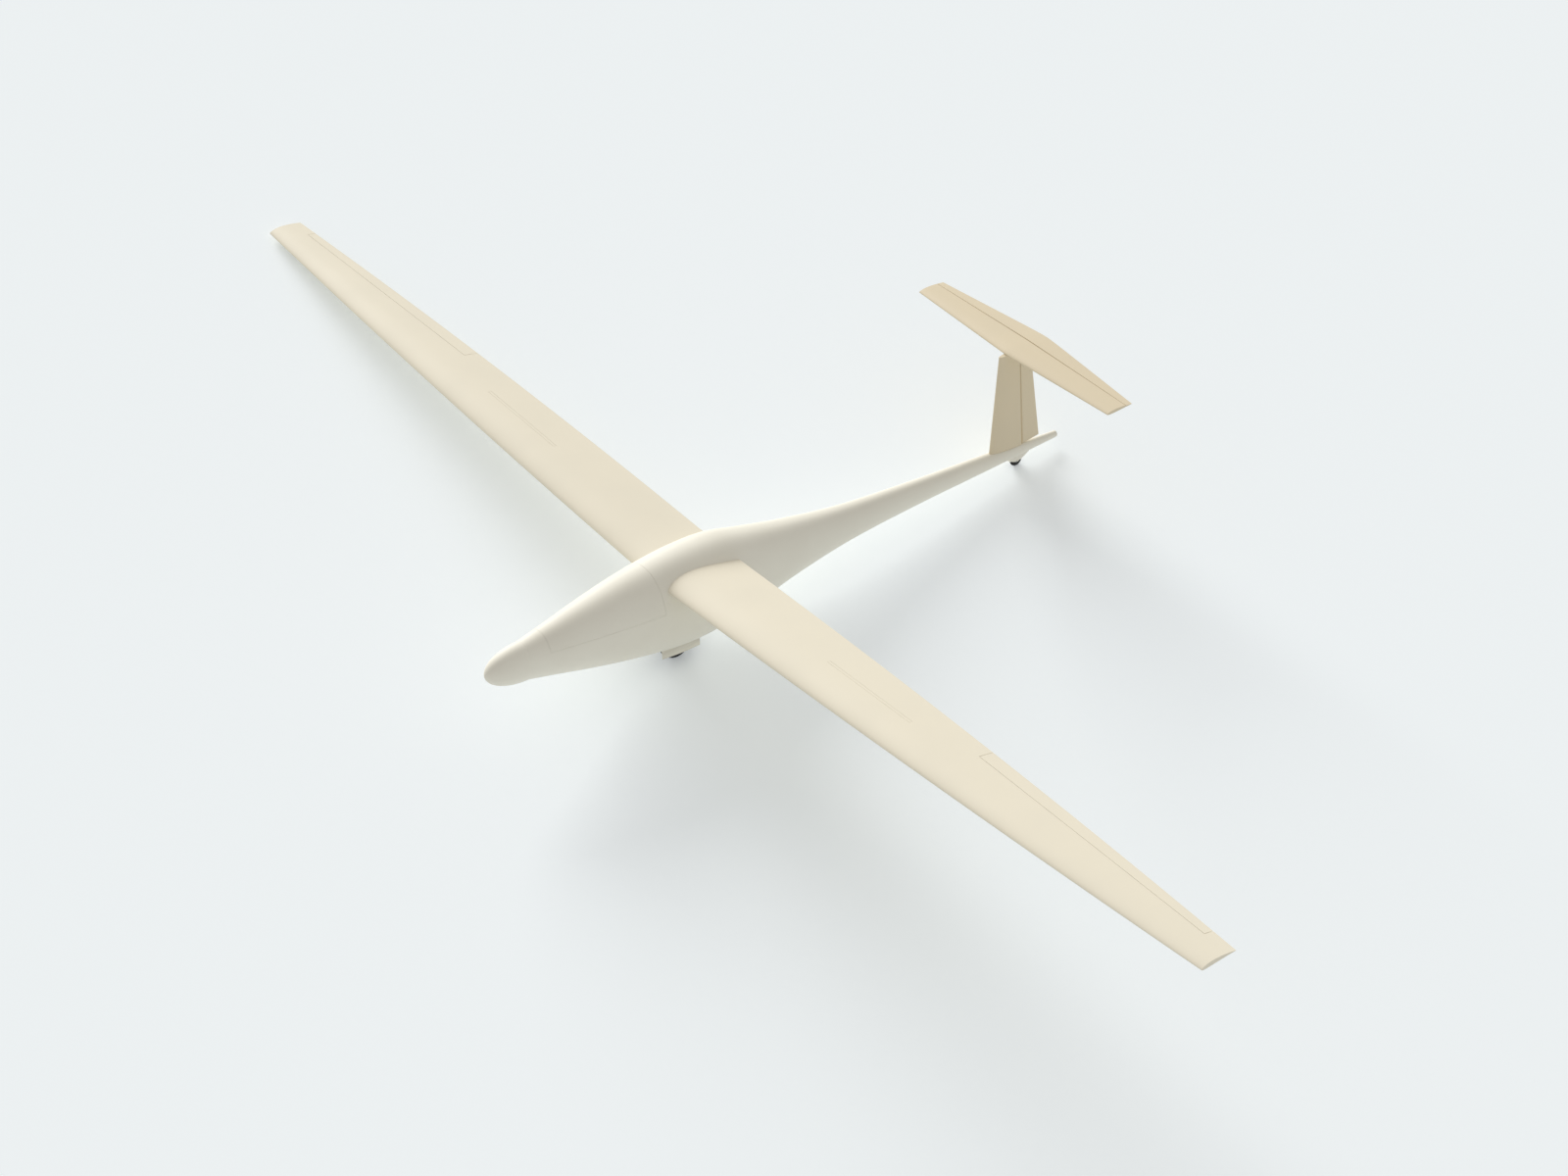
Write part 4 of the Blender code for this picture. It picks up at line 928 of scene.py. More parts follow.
half_hub = ((-0.044, AXLE_RADIUS + TOUCH), (-0.044, 0.034), (-0.038, 0.036), (-0.022, 0.037),
            (-0.018, 0.041), (-0.018, 0.060), (-0.023, 0.064), (-0.038, 0.067), (-0.040, 0.068),
            (-0.0415, 0.080), (-0.040, 0.0815), (-0.0385, RIM_RADIUS - TOUCH))
hub = bmesh.new()
add_turned(hub, both_sides(half_hub), MAIN_WHEEL)
for side in (1, -1):
    for seat in around(MAIN_WHEEL, BOLT_CIRCLE, 6):
        add_bolted(hub, seat, side, WHEEL_BOLT)
valve = MAIN_WHEEL + Vector((0.026, 0.0, 0.066))
add_rod(hub, valve, valve + Vector((0.016, 0, -0.006)), 0.0035, 16)
add_turned(hub, ((-0.050, 0.026), (-0.050, 0.064), (-0.054, 0.064), (-0.054, 0.016), (-0.043, 0.016),
                 (-0.043, 0.026)), MAIN_WHEEL)
add_piece("wheel_hub", rounded(hub, 0.0006), "main_wheel", alloy_finish, ["main_hub"])

# Axle and legs: a steel axle held by two pressed plates, which hang from the roof of the wheel box and
# are braced by a cross tube and a gas strut. The brake's caliper is bolted to the right one.
LEG_X = 0.086
LEG_HALF = 0.007
LEG_TOP = BAY_TOP - 0.0063
LEG_OUTLINE = ((0.016, -0.662), (0.028, -0.650), (0.034, -0.610), (0.030, -0.560), (0.024, -0.440),
               (0.026, LEG_TOP))
LEG_PANEL = (0.007, 0.003, -0.003)
LEG_BOLT_Z = -0.36
AXLE_NUT = ((0.0932, 0.0950, 0.024, 32), (0.0945, 0.1030, 0.0205, 6), (0.0550, 0.0789, 0.019, 32))


def add_block(bm, low, high):
    low, high = Vector(low), Vector(high)
    bmesh.ops.create_cube(bm, size=1.0, matrix=Matrix.Translation((low + high) / 2)
                          @ Matrix.Diagonal((*(high - low), 1.0)))


def add_blocks(bm, centre, corners):
    """Blocks between pairs of corners, which are measured from a centre."""
    for low, high in corners:
        add_block(bm, centre + Vector(low), centre + Vector(high))


def painted_steel(point):
    """Grey-painted steel, chipped to bare metal here and there."""
    chips = eased(noise(point, 130.0, 4.0), 0.66, 0.70)
    return {"Base Color": mixed(chips, (0.30, 0.32, 0.34, 1), (0.50, 0.48, 0.45, 1)),
            "Roughness": 0.45 + noise(point, 60.0) * 0.2,
            "Metallic": chips * 0.9,
            "Normal": bumped(chips, 0.0002, 0.5)}


steel_finish = finish("painted_steel", {}, painted_steel)

frame["nodes"]["main_axle"].data.materials[0] = alloy_finish
axle_nuts = bmesh.new()
for side in (1, -1):
    add_bolted(axle_nuts, MAIN_WHEEL, side, AXLE_NUT)
add_piece("axle_nuts", rounded(axle_nuts, 0.0008), "airframe", alloy_finish)

for side, label in SIDES:
    sections = [closed([(x, MAIN_WHEEL.y + y, z) for y, z in both_sides(LEG_OUTLINE)])
                for x in (LEG_X - LEG_HALF, LEG_X + LEG_HALF)]
    leg = lofted(sections, capped=True)
    panelled(leg, [face for face in leg.faces if abs(face.normal.x) > 0.9], LEG_PANEL)
    rounded(leg, 0.0012)
    add_cross_rod(leg, MAIN_WHEEL, LEG_X - 0.009, LEG_X + 0.0065, 0.026)
    for y in (-0.012, 0.012):
        add_cross_rod(leg, Vector((LEG_X, MAIN_WHEEL.y + y, LEG_BOLT_Z)), -0.011, 0.011, 0.006, 6)
    add_piece("leg_" + label, mirrored(leg, side), "airframe", steel_finish, ["gear_leg_" + label])

brace = bmesh.new()
knee, strut_top, rod_top = [Vector((0, MAIN_WHEEL.y - ahead, z))
                            for ahead, z in ((0, -0.415), (0.10, -0.352), (0.17, -0.308))]
add_cross_rod(brace, knee, -LEG_X, LEG_X, 0.0095)
add_rod(brace, knee, strut_top, 0.010)
add_rod(brace, strut_top, rod_top, 0.005)
add_block(brace, (-0.016, MAIN_WHEEL.y - 0.195, -0.325), (0.016, MAIN_WHEEL.y - 0.15, LEG_TOP))
add_piece("leg_brace", rounded(brace, 0.001), "airframe", steel_finish)

caliper = bmesh.new()
add_blocks(caliper, MAIN_WHEEL, (
    ((-0.064, 0.040, -0.028), (-0.056, 0.072, 0.010)), ((-0.0485, 0.044, -0.024), (-0.043, 0.066, 0.006)),
    ((-0.064, 0.066, -0.024), (-0.043, 0.074, 0.006)), ((-0.080, 0.030, -0.018), (-0.062, 0.060, 0.002))))
add_piece("brake_caliper", rounded(caliper, 0.0015), "airframe", steel_finish)

# Wheel box: a thin moulded box in matt flecked grey, glued over the bay. Stiffening ribs run across its
# roof and down its ends.
RIB_HALF = 0.008
RIB_DEPTH = 0.006
LINING = (0.29, 0.30, 0.31, 1)
LINING_FLECK = (0.62, 0.63, 0.62, 1)


def lining_paint(point):
    """Matt grey paint spattered with light flecks, as sprayed inside fibre shells."""
    flecks = point.node("TexVoronoi", {}, {"Vector": point, "Scale": 330.0})
    fleck = (1 - eased(flecks, 0.16, 0.22)) * eased(noise(point, 90.0, 2.0), 0.50, 0.56)
    return {"Base Color": mixed(fleck, LINING, LINING_FLECK),
            "Roughness": 0.78 + noise(point, 30.0) * 0.15,
            "Normal": bumped(noise(point, 240.0, 3.0), 0.0005, 0.6)}


lining_finish = finish("flecked_lining", {"Specular IOR Level": 0.25}, lining_paint)
frame["nodes"]["wheel_box"].data.materials[0] = lining_finish
ribs = bmesh.new()
for y in (2.03, 2.11, 2.29, 2.37):
    add_block(ribs, (-0.105, y - RIB_HALF, LEG_TOP - RIB_DEPTH), (0.105, y + RIB_HALF, LEG_TOP))
for x in (-0.06, 0.06):
    for low, high in ((BAY_FRONT, BAY_FRONT + RIB_DEPTH), (BAY_REAR - RIB_DEPTH, BAY_REAR)):
        add_block(ribs, (x - RIB_HALF, low, -0.53), (x + RIB_HALF, high, -0.30))
add_piece("wheel_box_ribs", rounded(ribs, 0.0025), "airframe", lining_finish)

# Gear doors: two strips of the belly's own skin on hinge rods along the bay's edges, hanging open. Each
# has a stiffening pan pressed into its inner side.
DOOR_OPEN = math.radians(92)
DOOR_THICKNESS = 0.008
DOOR_PANEL = (0.012, 0.004, DOOR_THICKNESS * 0.5)
DOOR_MEET = 0.003
DOOR_EDGE = 0.003
DOOR_ROD = 0.0037


def body_bottom(y, x):
    half_width, centre_z, half_height = body_section(y)
    return centre_z - half_height * (1 - abs(x / half_width) ** SECTION_FULLNESS) ** (1 / SECTION_FULLNESS)


ends_z = [body_bottom(y, BAY_HALF_WIDTH) for y in (BAY_FRONT, BAY_REAR)]
belly_sag = max(ends_z[0] + (ends_z[1] - ends_z[0]) * share
                - body_bottom(BAY_FRONT + (BAY_REAR - BAY_FRONT) * share, BAY_HALF_WIDTH)
                for share in spread(0, 1, 11))
for side, label in SIDES:
    hinge_front = Vector((BAY_HALF_WIDTH, BAY_FRONT + SEAM, ends_z[0] - belly_sag - DOOR_ROD))
    hinge_rear = Vector((BAY_HALF_WIDTH, BAY_REAR - SEAM, ends_z[1] - belly_sag - DOOR_ROD))
    rows = [[(x, y, body_bottom(y, x)) for x in spread(DOOR_MEET, BAY_HALF_WIDTH - DOOR_EDGE, 12)]
            for y in spread(BAY_FRONT + SEAM, BAY_REAR - SEAM, 25)]
    door = pressed(rows, (0, 0, -1), DOOR_THICKNESS * 0.5)
    inside = [face for face in door.faces if face.normal.z > 0.9]
    panelled(door, inside, DOOR_PANEL, bmesh.ops.inset_region)
    rounded(door, 0.0008)
    swing = (Matrix.Translation(hinge_front) @ Matrix.Rotation(-DOOR_OPEN, 4, hinge_rear - hinge_front)
             @ Matrix.Translation(-hinge_front))
    bmesh.ops.transform(door, matrix=swing, verts=door.verts)
    add_piece("door_" + label, mirrored(door, side), label + "_gear_door", body_finish,
              ["gear_door_" + label])
    hinge = bmesh.new()
    add_rod(hinge, hinge_front, hinge_rear, DOOR_ROD * 0.7, 20)
    for share in spread(0.02, 0.94, 12):
        start, end = [hinge_front.lerp(hinge_rear, place) for place in (share, share + 0.04)]
        add_rod(hinge, start, end, DOOR_ROD, 20)
    add_piece("piano_hinge_" + label, mirrored(hinge, side), "airframe", alloy_finish,
              ["door_hinge_" + label])

# Tail wheel: a solid rubber tyre on a small bolted alloy hub. Its steel axle is held by a moulded fairing
# bonded under the boom, whose stations are (distance aft, half width, lowest height).
TAIL_TYRE_RADIUS = 0.0747
TAIL_RIM_RADIUS = 0.032
TAIL_AXLE_RADIUS = 0.006
TAIL_STEPS = 64
FORK_START = 6.50
FORK_END = 6.80
FORK_WALL = 0.006
FORK_SLOT_REACH = 0.079
FORK_SLOT_LOW = -0.4
FORK_SLOT_HIGH = -0.262
FORK_STATIONS = ((FORK_START, 0.012, -0.255), (6.54, 0.030, -0.285), (6.58, 0.036, -0.302),
                 (6.66, 0.036, -0.302), (6.72, 0.030, -0.280), (FORK_END, 0.010, -0.245))

half_tail_tyre = [(-0.018, TAIL_RIM_RADIUS), (-0.0205, 0.038), (-0.021, 0.048), (-0.0205, 0.058),
                  (-0.018, 0.065), (-0.013, 0.0705), (-0.0075, 0.0735), (-0.0065, 0.0715),
                  (-0.0045, 0.0715), (-0.0035, 0.0742), (0, TAIL_TYRE_RADIUS)]
tail_tyre = bmesh.new()
add_turned(tail_tyre, both_sides(half_tail_tyre), TAIL_WHEEL, TAIL_STEPS)
add_piece("tail_wheel_tyre", tail_tyre, "tail_wheel", tyre_finish, ["tail_tyre"])
half_tail_hub = ((-0.019, TAIL_AXLE_RADIUS + TOUCH), (-0.019, 0.012), (-0.012, 0.015), (-0.010, 0.025),
                 (-0.017, 0.029), (-0.0178, TAIL_RIM_RADIUS - TOUCH))
tail_hub = bmesh.new()
add_turned(tail_hub, both_sides(half_tail_hub), TAIL_WHEEL, TAIL_STEPS)
for side in (1, -1):
    for seat in around(TAIL_WHEEL, 0.020, 5):
        add_cross_rod(tail_hub, seat, side * 0.009, side * 0.0135, 0.003, 6)
add_piece("tail_wheel_hub", rounded(tail_hub, 0.0005), "tail_wheel", alloy_finish, ["tail_hub"])
frame["nodes"]["tail_axle"].data.materials[0] = alloy_finish

rows = []
for y in [FORK_START - 0.005] + spread(FORK_START, FORK_END, 33) + [FORK_END + 0.005]:
    half, low = curve_at(FORK_STATIONS, min(max(y, FORK_START), FORK_END))
    top = body_bottom(y, half) + WING_EMBED
    width = half if FORK_START <= y <= FORK_END else 0.0
    rows.append([(width * math.copysign(abs(math.cos(angle)) ** 0.6, math.cos(angle)), y,
                  top + (low - top) * math.sin(angle) ** 0.6) for angle in spread(0, math.pi, 25)])
fork = opened(lofted(rows), (-TAIL_SLOT_HALF, TAIL_WHEEL.y - FORK_SLOT_REACH, FORK_SLOT_LOW),
              (TAIL_SLOT_HALF, TAIL_WHEEL.y + FORK_SLOT_REACH, FORK_SLOT_HIGH), "XY", 0.1)
rounded(walled(fork, FORK_WALL), 0.0012, angle=math.radians(50))
for side in (1, -1):
    add_cross_rod(fork, TAIL_WHEEL, side * 0.033, side * 0.0375, 0.011)
add_piece("fork_fairing", fork, "airframe", body_finish, ["tail_fork"])

# Tow hook: a painted steel release bolted into the belly ahead of the wheel. Two cheek plates carry a
# block and a beak, between which the ring of the tow rope is held.
HOOK_Y = 1.78

hook = bmesh.new()
hook_spot = Vector((0, HOOK_Y, body_bottom(HOOK_Y, 0)))
add_blocks(hook, hook_spot, (
    ((-0.018, -0.045, -0.012), (-0.012, 0.045, 0.022)), ((0.012, -0.045, -0.012), (0.018, 0.045, 0.022)),
    ((-0.0125, 0.008, -0.030), (0.0125, 0.040, 0.022)), ((-0.006, -0.030, -0.028), (0.006, 0.010, -0.018))))
add_cross_rod(hook, hook_spot + Vector((0, 0.020, -0.006)), -0.020, 0.020, 0.004, 16)
add_piece("hook_housing", rounded(hook, 0.0015), "airframe", steel_finish, ["tow_hook"])

# Hood hinges: two painted steel hinges on the pilot's right. Their leaves are bonded into the shell and
# into the hood, and each of the two carries half of every knuckle.
HOOD_HINGE_OUTSET = 0.026
HOOD_HINGES = (0.86, 1.64)
KNUCKLE_RADIUS = 0.008
KNUCKLE_LENGTH = 0.030
LEAF_REACH = 0.040


def hood_hinge(y):
    """The hinge line runs straight past the sill, clear of the body's curve."""
    front, rear = body_half_width(HOOD_FRONT, SILL_Z), body_half_width(HOOD_REAR, SILL_Z)
    share = (y - HOOD_FRONT) / (HOOD_REAR - HOOD_FRONT)
    return Vector((-(front + (rear - front) * share + HOOD_HINGE_OUTSET), y, SILL_Z))


for body, start, end, leaf_rise in (("airframe", -KNUCKLE_LENGTH, -TOUCH / 2, -KNUCKLE_RADIUS),
                                    ("hood", TOUCH / 2, KNUCKLE_LENGTH, KNUCKLE_RADIUS + 0.0025)):
    leaves = bmesh.new()
    for y in HOOD_HINGES:
        add_rod(leaves, hood_hinge(y + start), hood_hinge(y + end), KNUCKLE_RADIUS)
        outer = hood_hinge(y + (start if body == "airframe" else end))
        add_rod(leaves, outer, outer + Vector((0, math.copysign(0.003, outer.y - y), 0)), 0.0055)
        x = hood_hinge(y).x
        add_block(leaves, (x - 0.004, y + start + 0.004, SILL_Z + leaf_rise - 0.004),
                  (x + LEAF_REACH, y + end - 0.004, SILL_Z + leaf_rise + 0.004))
    add_piece("hood_hinges_" + body, rounded(leaves, 0.0012), body, steel_finish)

# Cockpit lining: a thin moulded skin in flecked grey paint over the inside of the shell, whose edge stands
# up behind the seam round the opening as a lip. The hood has its own, and a wall shuts off the nose.
LINING_SKIN = 0.0016
LIP = 0.012
FRONT_WALL_Y = 0.45
FRONT_WALL_THICKNESS = 0.006
WALL_PANEL = (0.045, 0.006, -0.003)
BULKHEAD_Y = 1.900
BULKHEAD_THICKNESS = 0.012

lining = lofted([body_ring(y, -WALL - SHUT_LINE) for y in spread(FRONT_WALL_Y, BULKHEAD_Y - TOUCH, 40)])
opened(lining, (-1, HOOD_FRONT + LIP, SILL_Z + LIP), (1, HOOD_REAR - LIP, 1), "YZ")
for name, skin, body in (("cockpit_lining", lining, "airframe"),
                         ("hood_lining", hood_form(-WALL - TOUCH, 1.5 * LIP), "hood")):
    add_piece(name, rounded(walled(skin, LINING_SKIN), 0.0005), body, lining_finish)

inner_grow = -WALL - SHUT_LINE - LINING_SKIN - TOUCH
for name, start, thickness, looks, replaced in (
        ("front_wall", FRONT_WALL_Y, FRONT_WALL_THICKNESS, 1, ()),
        ("bulkhead", BULKHEAD_Y, BULKHEAD_THICKNESS, -1, ["cockpit_bulkhead"])):
    wall = lofted([body_ring(y, inner_grow) for y in (start, start + thickness)], capped=True)
    broad = [face for face in wall.faces if face.normal.y * looks > 0.9]
    panelled(wall, broad, WALL_PANEL, bmesh.ops.inset_region)
    add_piece(name, rounded(wall, 0.001), "airframe", lining_finish, replaced)

# Seat: a moulded pan from wall to wall with its sides turned up, and a reclined back with curled edges that
# rests on the pan and on the bulkhead.
PAN = ((1.00, -0.16), (1.06, -0.19), (1.20, -0.26), (1.36, -0.325), (1.48, -0.345), (1.56, -0.325))
BACK = ((1.545, -0.335), (1.66, -0.17), (1.75, -0.03), (1.84, 0.11), (1.93, 0.245))
BACK_HALF_WIDTH = 0.20
PAN_SKIN = 0.006
PAN_UPTURN = 0.045
PAN_FRONT_DROP = 0.028
BACK_SKIN = 0.008
BACK_CURL = 0.022


def inner_half_width(y, z):
    return body_half_width(y, z) + inner_grow


def curve_z(profile, y):
    return curve_at(profile, y)[0]


def curve_front(profile, y):
    """The direction out of a profile, up and forwards."""
    slope = (curve_z(profile, y + 0.004) - curve_z(profile, y - 0.004)) / 0.008
    return Vector((0, -slope, 1)).normalized()


rows = []
pan_front, pan_rear = PAN[0][0], PAN[-1][0]
for y, drop in [(pan_front + 0.003, PAN_FRONT_DROP)] + [(y, 0.0) for y in spread(pan_front, pan_rear, 29)]:
    middle = 1 - abs(2 * (y - pan_front) / (pan_rear - pan_front) - 1) ** 3
    row = []
    for share in spread(-1, 1, 41):
        z = curve_z(PAN, y) + PAN_UPTURN * middle * abs(share) ** 7 - drop
        row.append((share * inner_half_width(y, z), y, z))
    rows.append(row)
pan = pressed(rows, (0, 0, 1), PAN_SKIN)
pan_copy = pan.copy()
add_piece("seat_pan_shell", rounded(pan, 0.0015), "airframe", lining_finish, ["seat_pan"])

rows = []
for y in spread(1.551, BULKHEAD_Y - 0.005, 33):
    row = []
    for share in spread(-1, 1, 33):
        curl = curve_front(BACK, y) * BACK_CURL * abs(share) ** 5
        row.append(Vector((share * BACK_HALF_WIDTH, y, curve_z(BACK, y))) + curl)
    rows.append(row)
back = pressed(rows, (0, -1, 0), BACK_SKIN)
back_copy = back.copy()
add_piece("seat_back_shell", rounded(back, 0.002), "airframe", lining_finish, ["seat_back"])

# Cushions: foam pads in a dark blue woven cover, sewn in lengthwise channels and piped round the edge. The
# seat pad lies on the pan, the back pad on the seat's back and the small head pad on the bulkhead.
PAD_THICKNESS = 0.034
PAD_SWELL = 0.007
PAD_VOXEL = 0.005
PAD_PRESSURE = 4
PAD_CHANNELS = (-0.108, -0.036, 0.036, 0.108)
CLEARANCE = 0.0012          # what keeps two soft layers apart
SEAM_DEPTH = 0.0045
PIPING_RADIUS = 0.0028
CLOTH_STEPS = 20


def woven_cloth(point):
    """Basket weave of 2 mm threads, faded and rubbed a little lighter in patches."""
    _, x, y, z = levelled(point)
    pitch = math.tau / 0.004
    weave = (x * pitch).maths("SINE") * ((y + z) * pitch).maths("SINE")
    threads = weave * 0.5 + 0.5
    faded = eased(noise(point, 7.0, 3.0), 0.42, 0.72)
    cloth = mixed(threads * 0.6 + noise(point, 500.0) * 0.4, (0.050, 0.070, 0.125, 1),
                  (0.105, 0.135, 0.205, 1))
    return {"Base Color": mixed(faded * 0.35, cloth, (0.17, 0.20, 0.26, 1)),
            "Roughness": 0.86 + faded * 0.08,
            "Normal": bumped(threads, 0.0005, 0.7)}


def piping_cloth(point):
    twill = noise(point, 900.0, 2.0)
    return {"Base Color": mixed(eased(twill, 0.35, 0.65), (0.12, 0.15, 0.21, 1), (0.22, 0.25, 0.31, 1)),
            "Roughness": 0.8 + twill * 0.15,
            "Normal": bumped(twill, 0.0004, 0.6)}


cloth_finish = finish("woven_cloth", {"Sheen Weight": 0.25, "Specular IOR Level": 0.2}, woven_cloth)
piping_finish = finish("piping_cloth", {"Sheen Weight": 0.2, "Specular IOR Level": 0.2}, piping_cloth)


def baked(piece):
    """The piece's mesh with its modifiers applied, in place of them."""
    made = bpy.data.meshes.new_from_object(piece.evaluated_get(bpy.context.evaluated_depsgraph_get()))
    piece.modifiers.clear()
    piece.data = made


def stuffed(bm, resting):
    """Blows a closed pad up as cloth under pressure; no point moves far or sinks into what is below."""
    mesh = bpy.data.meshes.new("pad")
    bm.to_mesh(mesh)
    bm.free()
    pad = placed("pad", mesh)
    remesh = pad.modifiers.new("remesh", "REMESH")
    remesh.mode = "VOXEL"
    remesh.voxel_size = PAD_VOXEL
    baked(pad)
    before = [vert.co.copy() for vert in pad.data.vertices]
    cloth = pad.modifiers.new("cloth", "CLOTH")
    cloth.settings.use_pressure = True
    cloth.settings.uniform_pressure_force = PAD_PRESSURE
    cloth.settings.effector_weights.gravity = 0
    for step in range(1, CLOTH_STEPS + 1):
        bpy.context.scene.frame_set(step)
    baked(pad)
    for vert, old in zip(pad.data.vertices, before):
        move = vert.co - old
        vert.co = old + move * min(1, PAD_SWELL / max(move.length, 1e-9))
    bpy.context.scene.frame_set(1)
    for vert in pad.data.vertices:
        vert.co = resting(vert.co)
    finer = pad.modifiers.new("finer", "SUBSURF")
    finer.levels = finer.render_levels = 1
    baked(pad)
    soft = bmesh.new()
    soft.from_mesh(pad.data)
    bpy.data.objects.remove(pad)
    return soft


def pad_form(half_width, rows):
    """A closed pad from (foot, direction, thickness) rows, its sides rounded and its corners drawn in."""
    sections = []
    for i, (foot, out, thickness) in enumerate(rows):
        end = min(i, len(rows) - 1 - i) / 2
        width = half_width * (1 - 0.03 * max(0, 1 - end) ** 2)
        ring = []
        for angle in spread(0, math.tau, 41):
            across = math.copysign(abs(math.cos(angle)) ** 0.35, math.cos(angle))
            up = math.copysign(abs(math.sin(angle)) ** 0.7, math.sin(angle))
            height = thickness * (1 + 0.15 * (1 - across ** 4)) if up > 0 else thickness
            ring.append(foot + out * (thickness / 2 + up * height / 2) + Vector((across * width, 0, 0)))
        sections.append(ring)
    return lofted(sections, capped=True)


def sewn(soft, channels, front):
    """Draws the seams of the channels into a pad's face."""
    soft.normal_update()
    for vert in soft.verts:
        facing_out = max(0.0, vert.normal.dot(front(vert.co)))
        near = min(abs(channel(vert.co)) for channel in channels)
        vert.co -= vert.normal * SEAM_DEPTH * facing_out * math.exp(-(near / SEAM_DEPTH) ** 2)


def piped(soft, outline):
    """A round cord of piping, closed on itself, laid on a pad along the outline."""
    tree = BVHTree.FromBMesh(soft)
    points = [tree.find_nearest(point)[0] for point in outline]
    for _ in range(3):
        points = [(points[i - 1] + point * 2 + points[(i + 1) % len(points)]) / 4
                  for i, point in enumerate(points)]
    rings = []
    for i, point in enumerate(points):
        along = (points[(i + 1) % len(points)] - points[i - 1]).normalized()
        side = along.cross(Vector((0.013, 0.57, 0.82))).normalized()
        other = along.cross(side)
        rings.append([point + (side * math.cos(angle) + other * math.sin(angle)) * PIPING_RADIUS
                      for angle in spread(0, math.tau, 11)])
    return lofted(closed(rings))


def loop_round(corners):
    """Points along a closed path through corners, which are rounded off."""
    points = []
    for i, corner in enumerate(corners):
        after = corners[(i + 1) % len(corners)]
        points += [corner.lerp(after, share) for share in spread(0, 1, 30)[:-1]]
    for _ in range(8):
        points = [(points[i - 1] + points[(i + 1) % len(points)]) / 2 for i in range(len(points))]
    return points


def above(profile, clearance):
    """Keeps points clear of the profile that a pad lies on."""
    def resting(point):
        front = curve_front(profile, point.y)
        height = (point.z - curve_z(profile, point.y)) * front.z
        return point + front * max(0.0, clearance - height)
    return resting


pads = []
for name, profile, start, end, half_width, replaced in (
        ("seat_pad", PAN, 1.215, 1.465, 0.183, "seat_cushion"),
        ("back_pad", BACK, 1.672, 1.832, 0.173, "back_cushion")):
    rows = [(Vector((0, y, curve_z(profile, y))), curve_front(profile, y), PAD_THICKNESS)
            for y in spread(start, end, 22)]
    soft = stuffed(pad_form(half_width, rows), above(profile, CLEARANCE))
    sewn(soft, [lambda point, x=x: point.x - x for x in PAD_CHANNELS],
         lambda point: curve_front(profile, min(max(point.y, start), end)))
    corners = []
    for x, y in ((1, start), (1, end), (-1, end), (-1, start)):
        foot = Vector((x * (half_width + 0.012), y + math.copysign(0.012, y - (start + end) / 2),
                       curve_z(profile, y)))
        corners.append(foot + curve_front(profile, y) * PAD_THICKNESS * 0.85)
    piping = piped(soft, loop_round(corners))
    pads.append(soft.copy())
    pad = add_piece(name, soft, "airframe", cloth_finish, [replaced])
    add_piece(name + "_piping", piping, "airframe", piping_finish)

HEAD_LOW = Vector((-0.07, 1.845, 0.225))
HEAD_HIGH = Vector((0.07, BULKHEAD_Y - TOUCH, 0.33))
forwards = Vector((0, -1, 0))
rows = [(Vector((0, HEAD_HIGH.y, z)), forwards, HEAD_HIGH.y - HEAD_LOW.y - PAD_SWELL - 0.002)
        for z in spread(HEAD_LOW.z + 0.006, HEAD_HIGH.z - 0.006, 14)]
soft = stuffed(pad_form(0.063, rows),
               lambda point: Vector((point.x, min(point.y, HEAD_HIGH.y - 0.001), point.z)))
sewn(soft, [lambda point: point.z - (HEAD_LOW.z + HEAD_HIGH.z) / 2], lambda point: forwards)
head_pad = add_piece("head_pad", soft, "airframe", cloth_finish, ["headrest"])

# Harness: grey woven webbing, two straps down the back and two across the lap, which meet in a round
# buckle on the seat pad. The shoulder straps are bolted to the bulkhead and the lap straps to the pan. A
# path is (point, direction out of the seat) pairs on the left side.
STRAP_WIDTH = 0.044
STRAP_THICKNESS = 0.0016
STRAP_REACH = 0.12          # how far over the seat a strap starts to be lowered onto it
BUCKLE_Y = 1.40
SHOULDER_PATH = (((0.075, 1.894, 0.205), (0, -0.82, 0.57)), ((0.078, 1.84, 0.11), (0, -0.83, 0.55)),
                 ((0.078, 1.75, -0.03), (0, -0.83, 0.55)), ((0.070, 1.66, -0.17), (0, -0.80, 0.60)),
                 ((0.060, 1.56, -0.30), (0, -0.45, 0.90)), ((0.045, 1.48, -0.345), (0, -0.10, 1.0)),
                 ((0.026, BUCKLE_Y + 0.018, -0.335), (0, 0.12, 1.0)))
LAP_PATH = (((0.205, 1.485, -0.345), (0.3, 0.1, 1.0)), ((0.13, 1.45, -0.342), (0, 0.05, 1.0)),
            ((0.06, BUCKLE_Y + 0.012, -0.335), (0, 0.1, 1.0)), ((0.022, BUCKLE_Y, -0.335), (0, 0.12, 1.0)))


def webbing(point):
    _, x, y, _ = levelled(point)
    ribs = ((x + y * 0.35) * (math.tau / 0.0036)).maths("SINE") * 0.5 + 0.5
    rubbed = eased(noise(point, 35.0, 3.0), 0.45, 0.8)
    return {"Base Color": mixed(ribs * 0.5 + rubbed * 0.3, (0.30, 0.29, 0.27, 1), (0.46, 0.45, 0.42, 1)),
            "Roughness": 0.72 + rubbed * 0.15,
            "Normal": bumped(ribs, 0.0003, 0.6)}


def join(bm, other):
    """Adds another shape to this one."""
    mesh = bpy.data.meshes.new("joined")
    other.to_mesh(mesh)
    other.free()
    bm.from_mesh(mesh)
    bpy.data.meshes.remove(mesh)


strap_finish = finish("grey_webbing", {"Specular IOR Level": 0.3}, webbing)
soft_seat = bmesh.new()
for layer in pads + [pan_copy, back_copy]:
    join(soft_seat, layer)
seat_tree = BVHTree.FromBMesh(soft_seat)


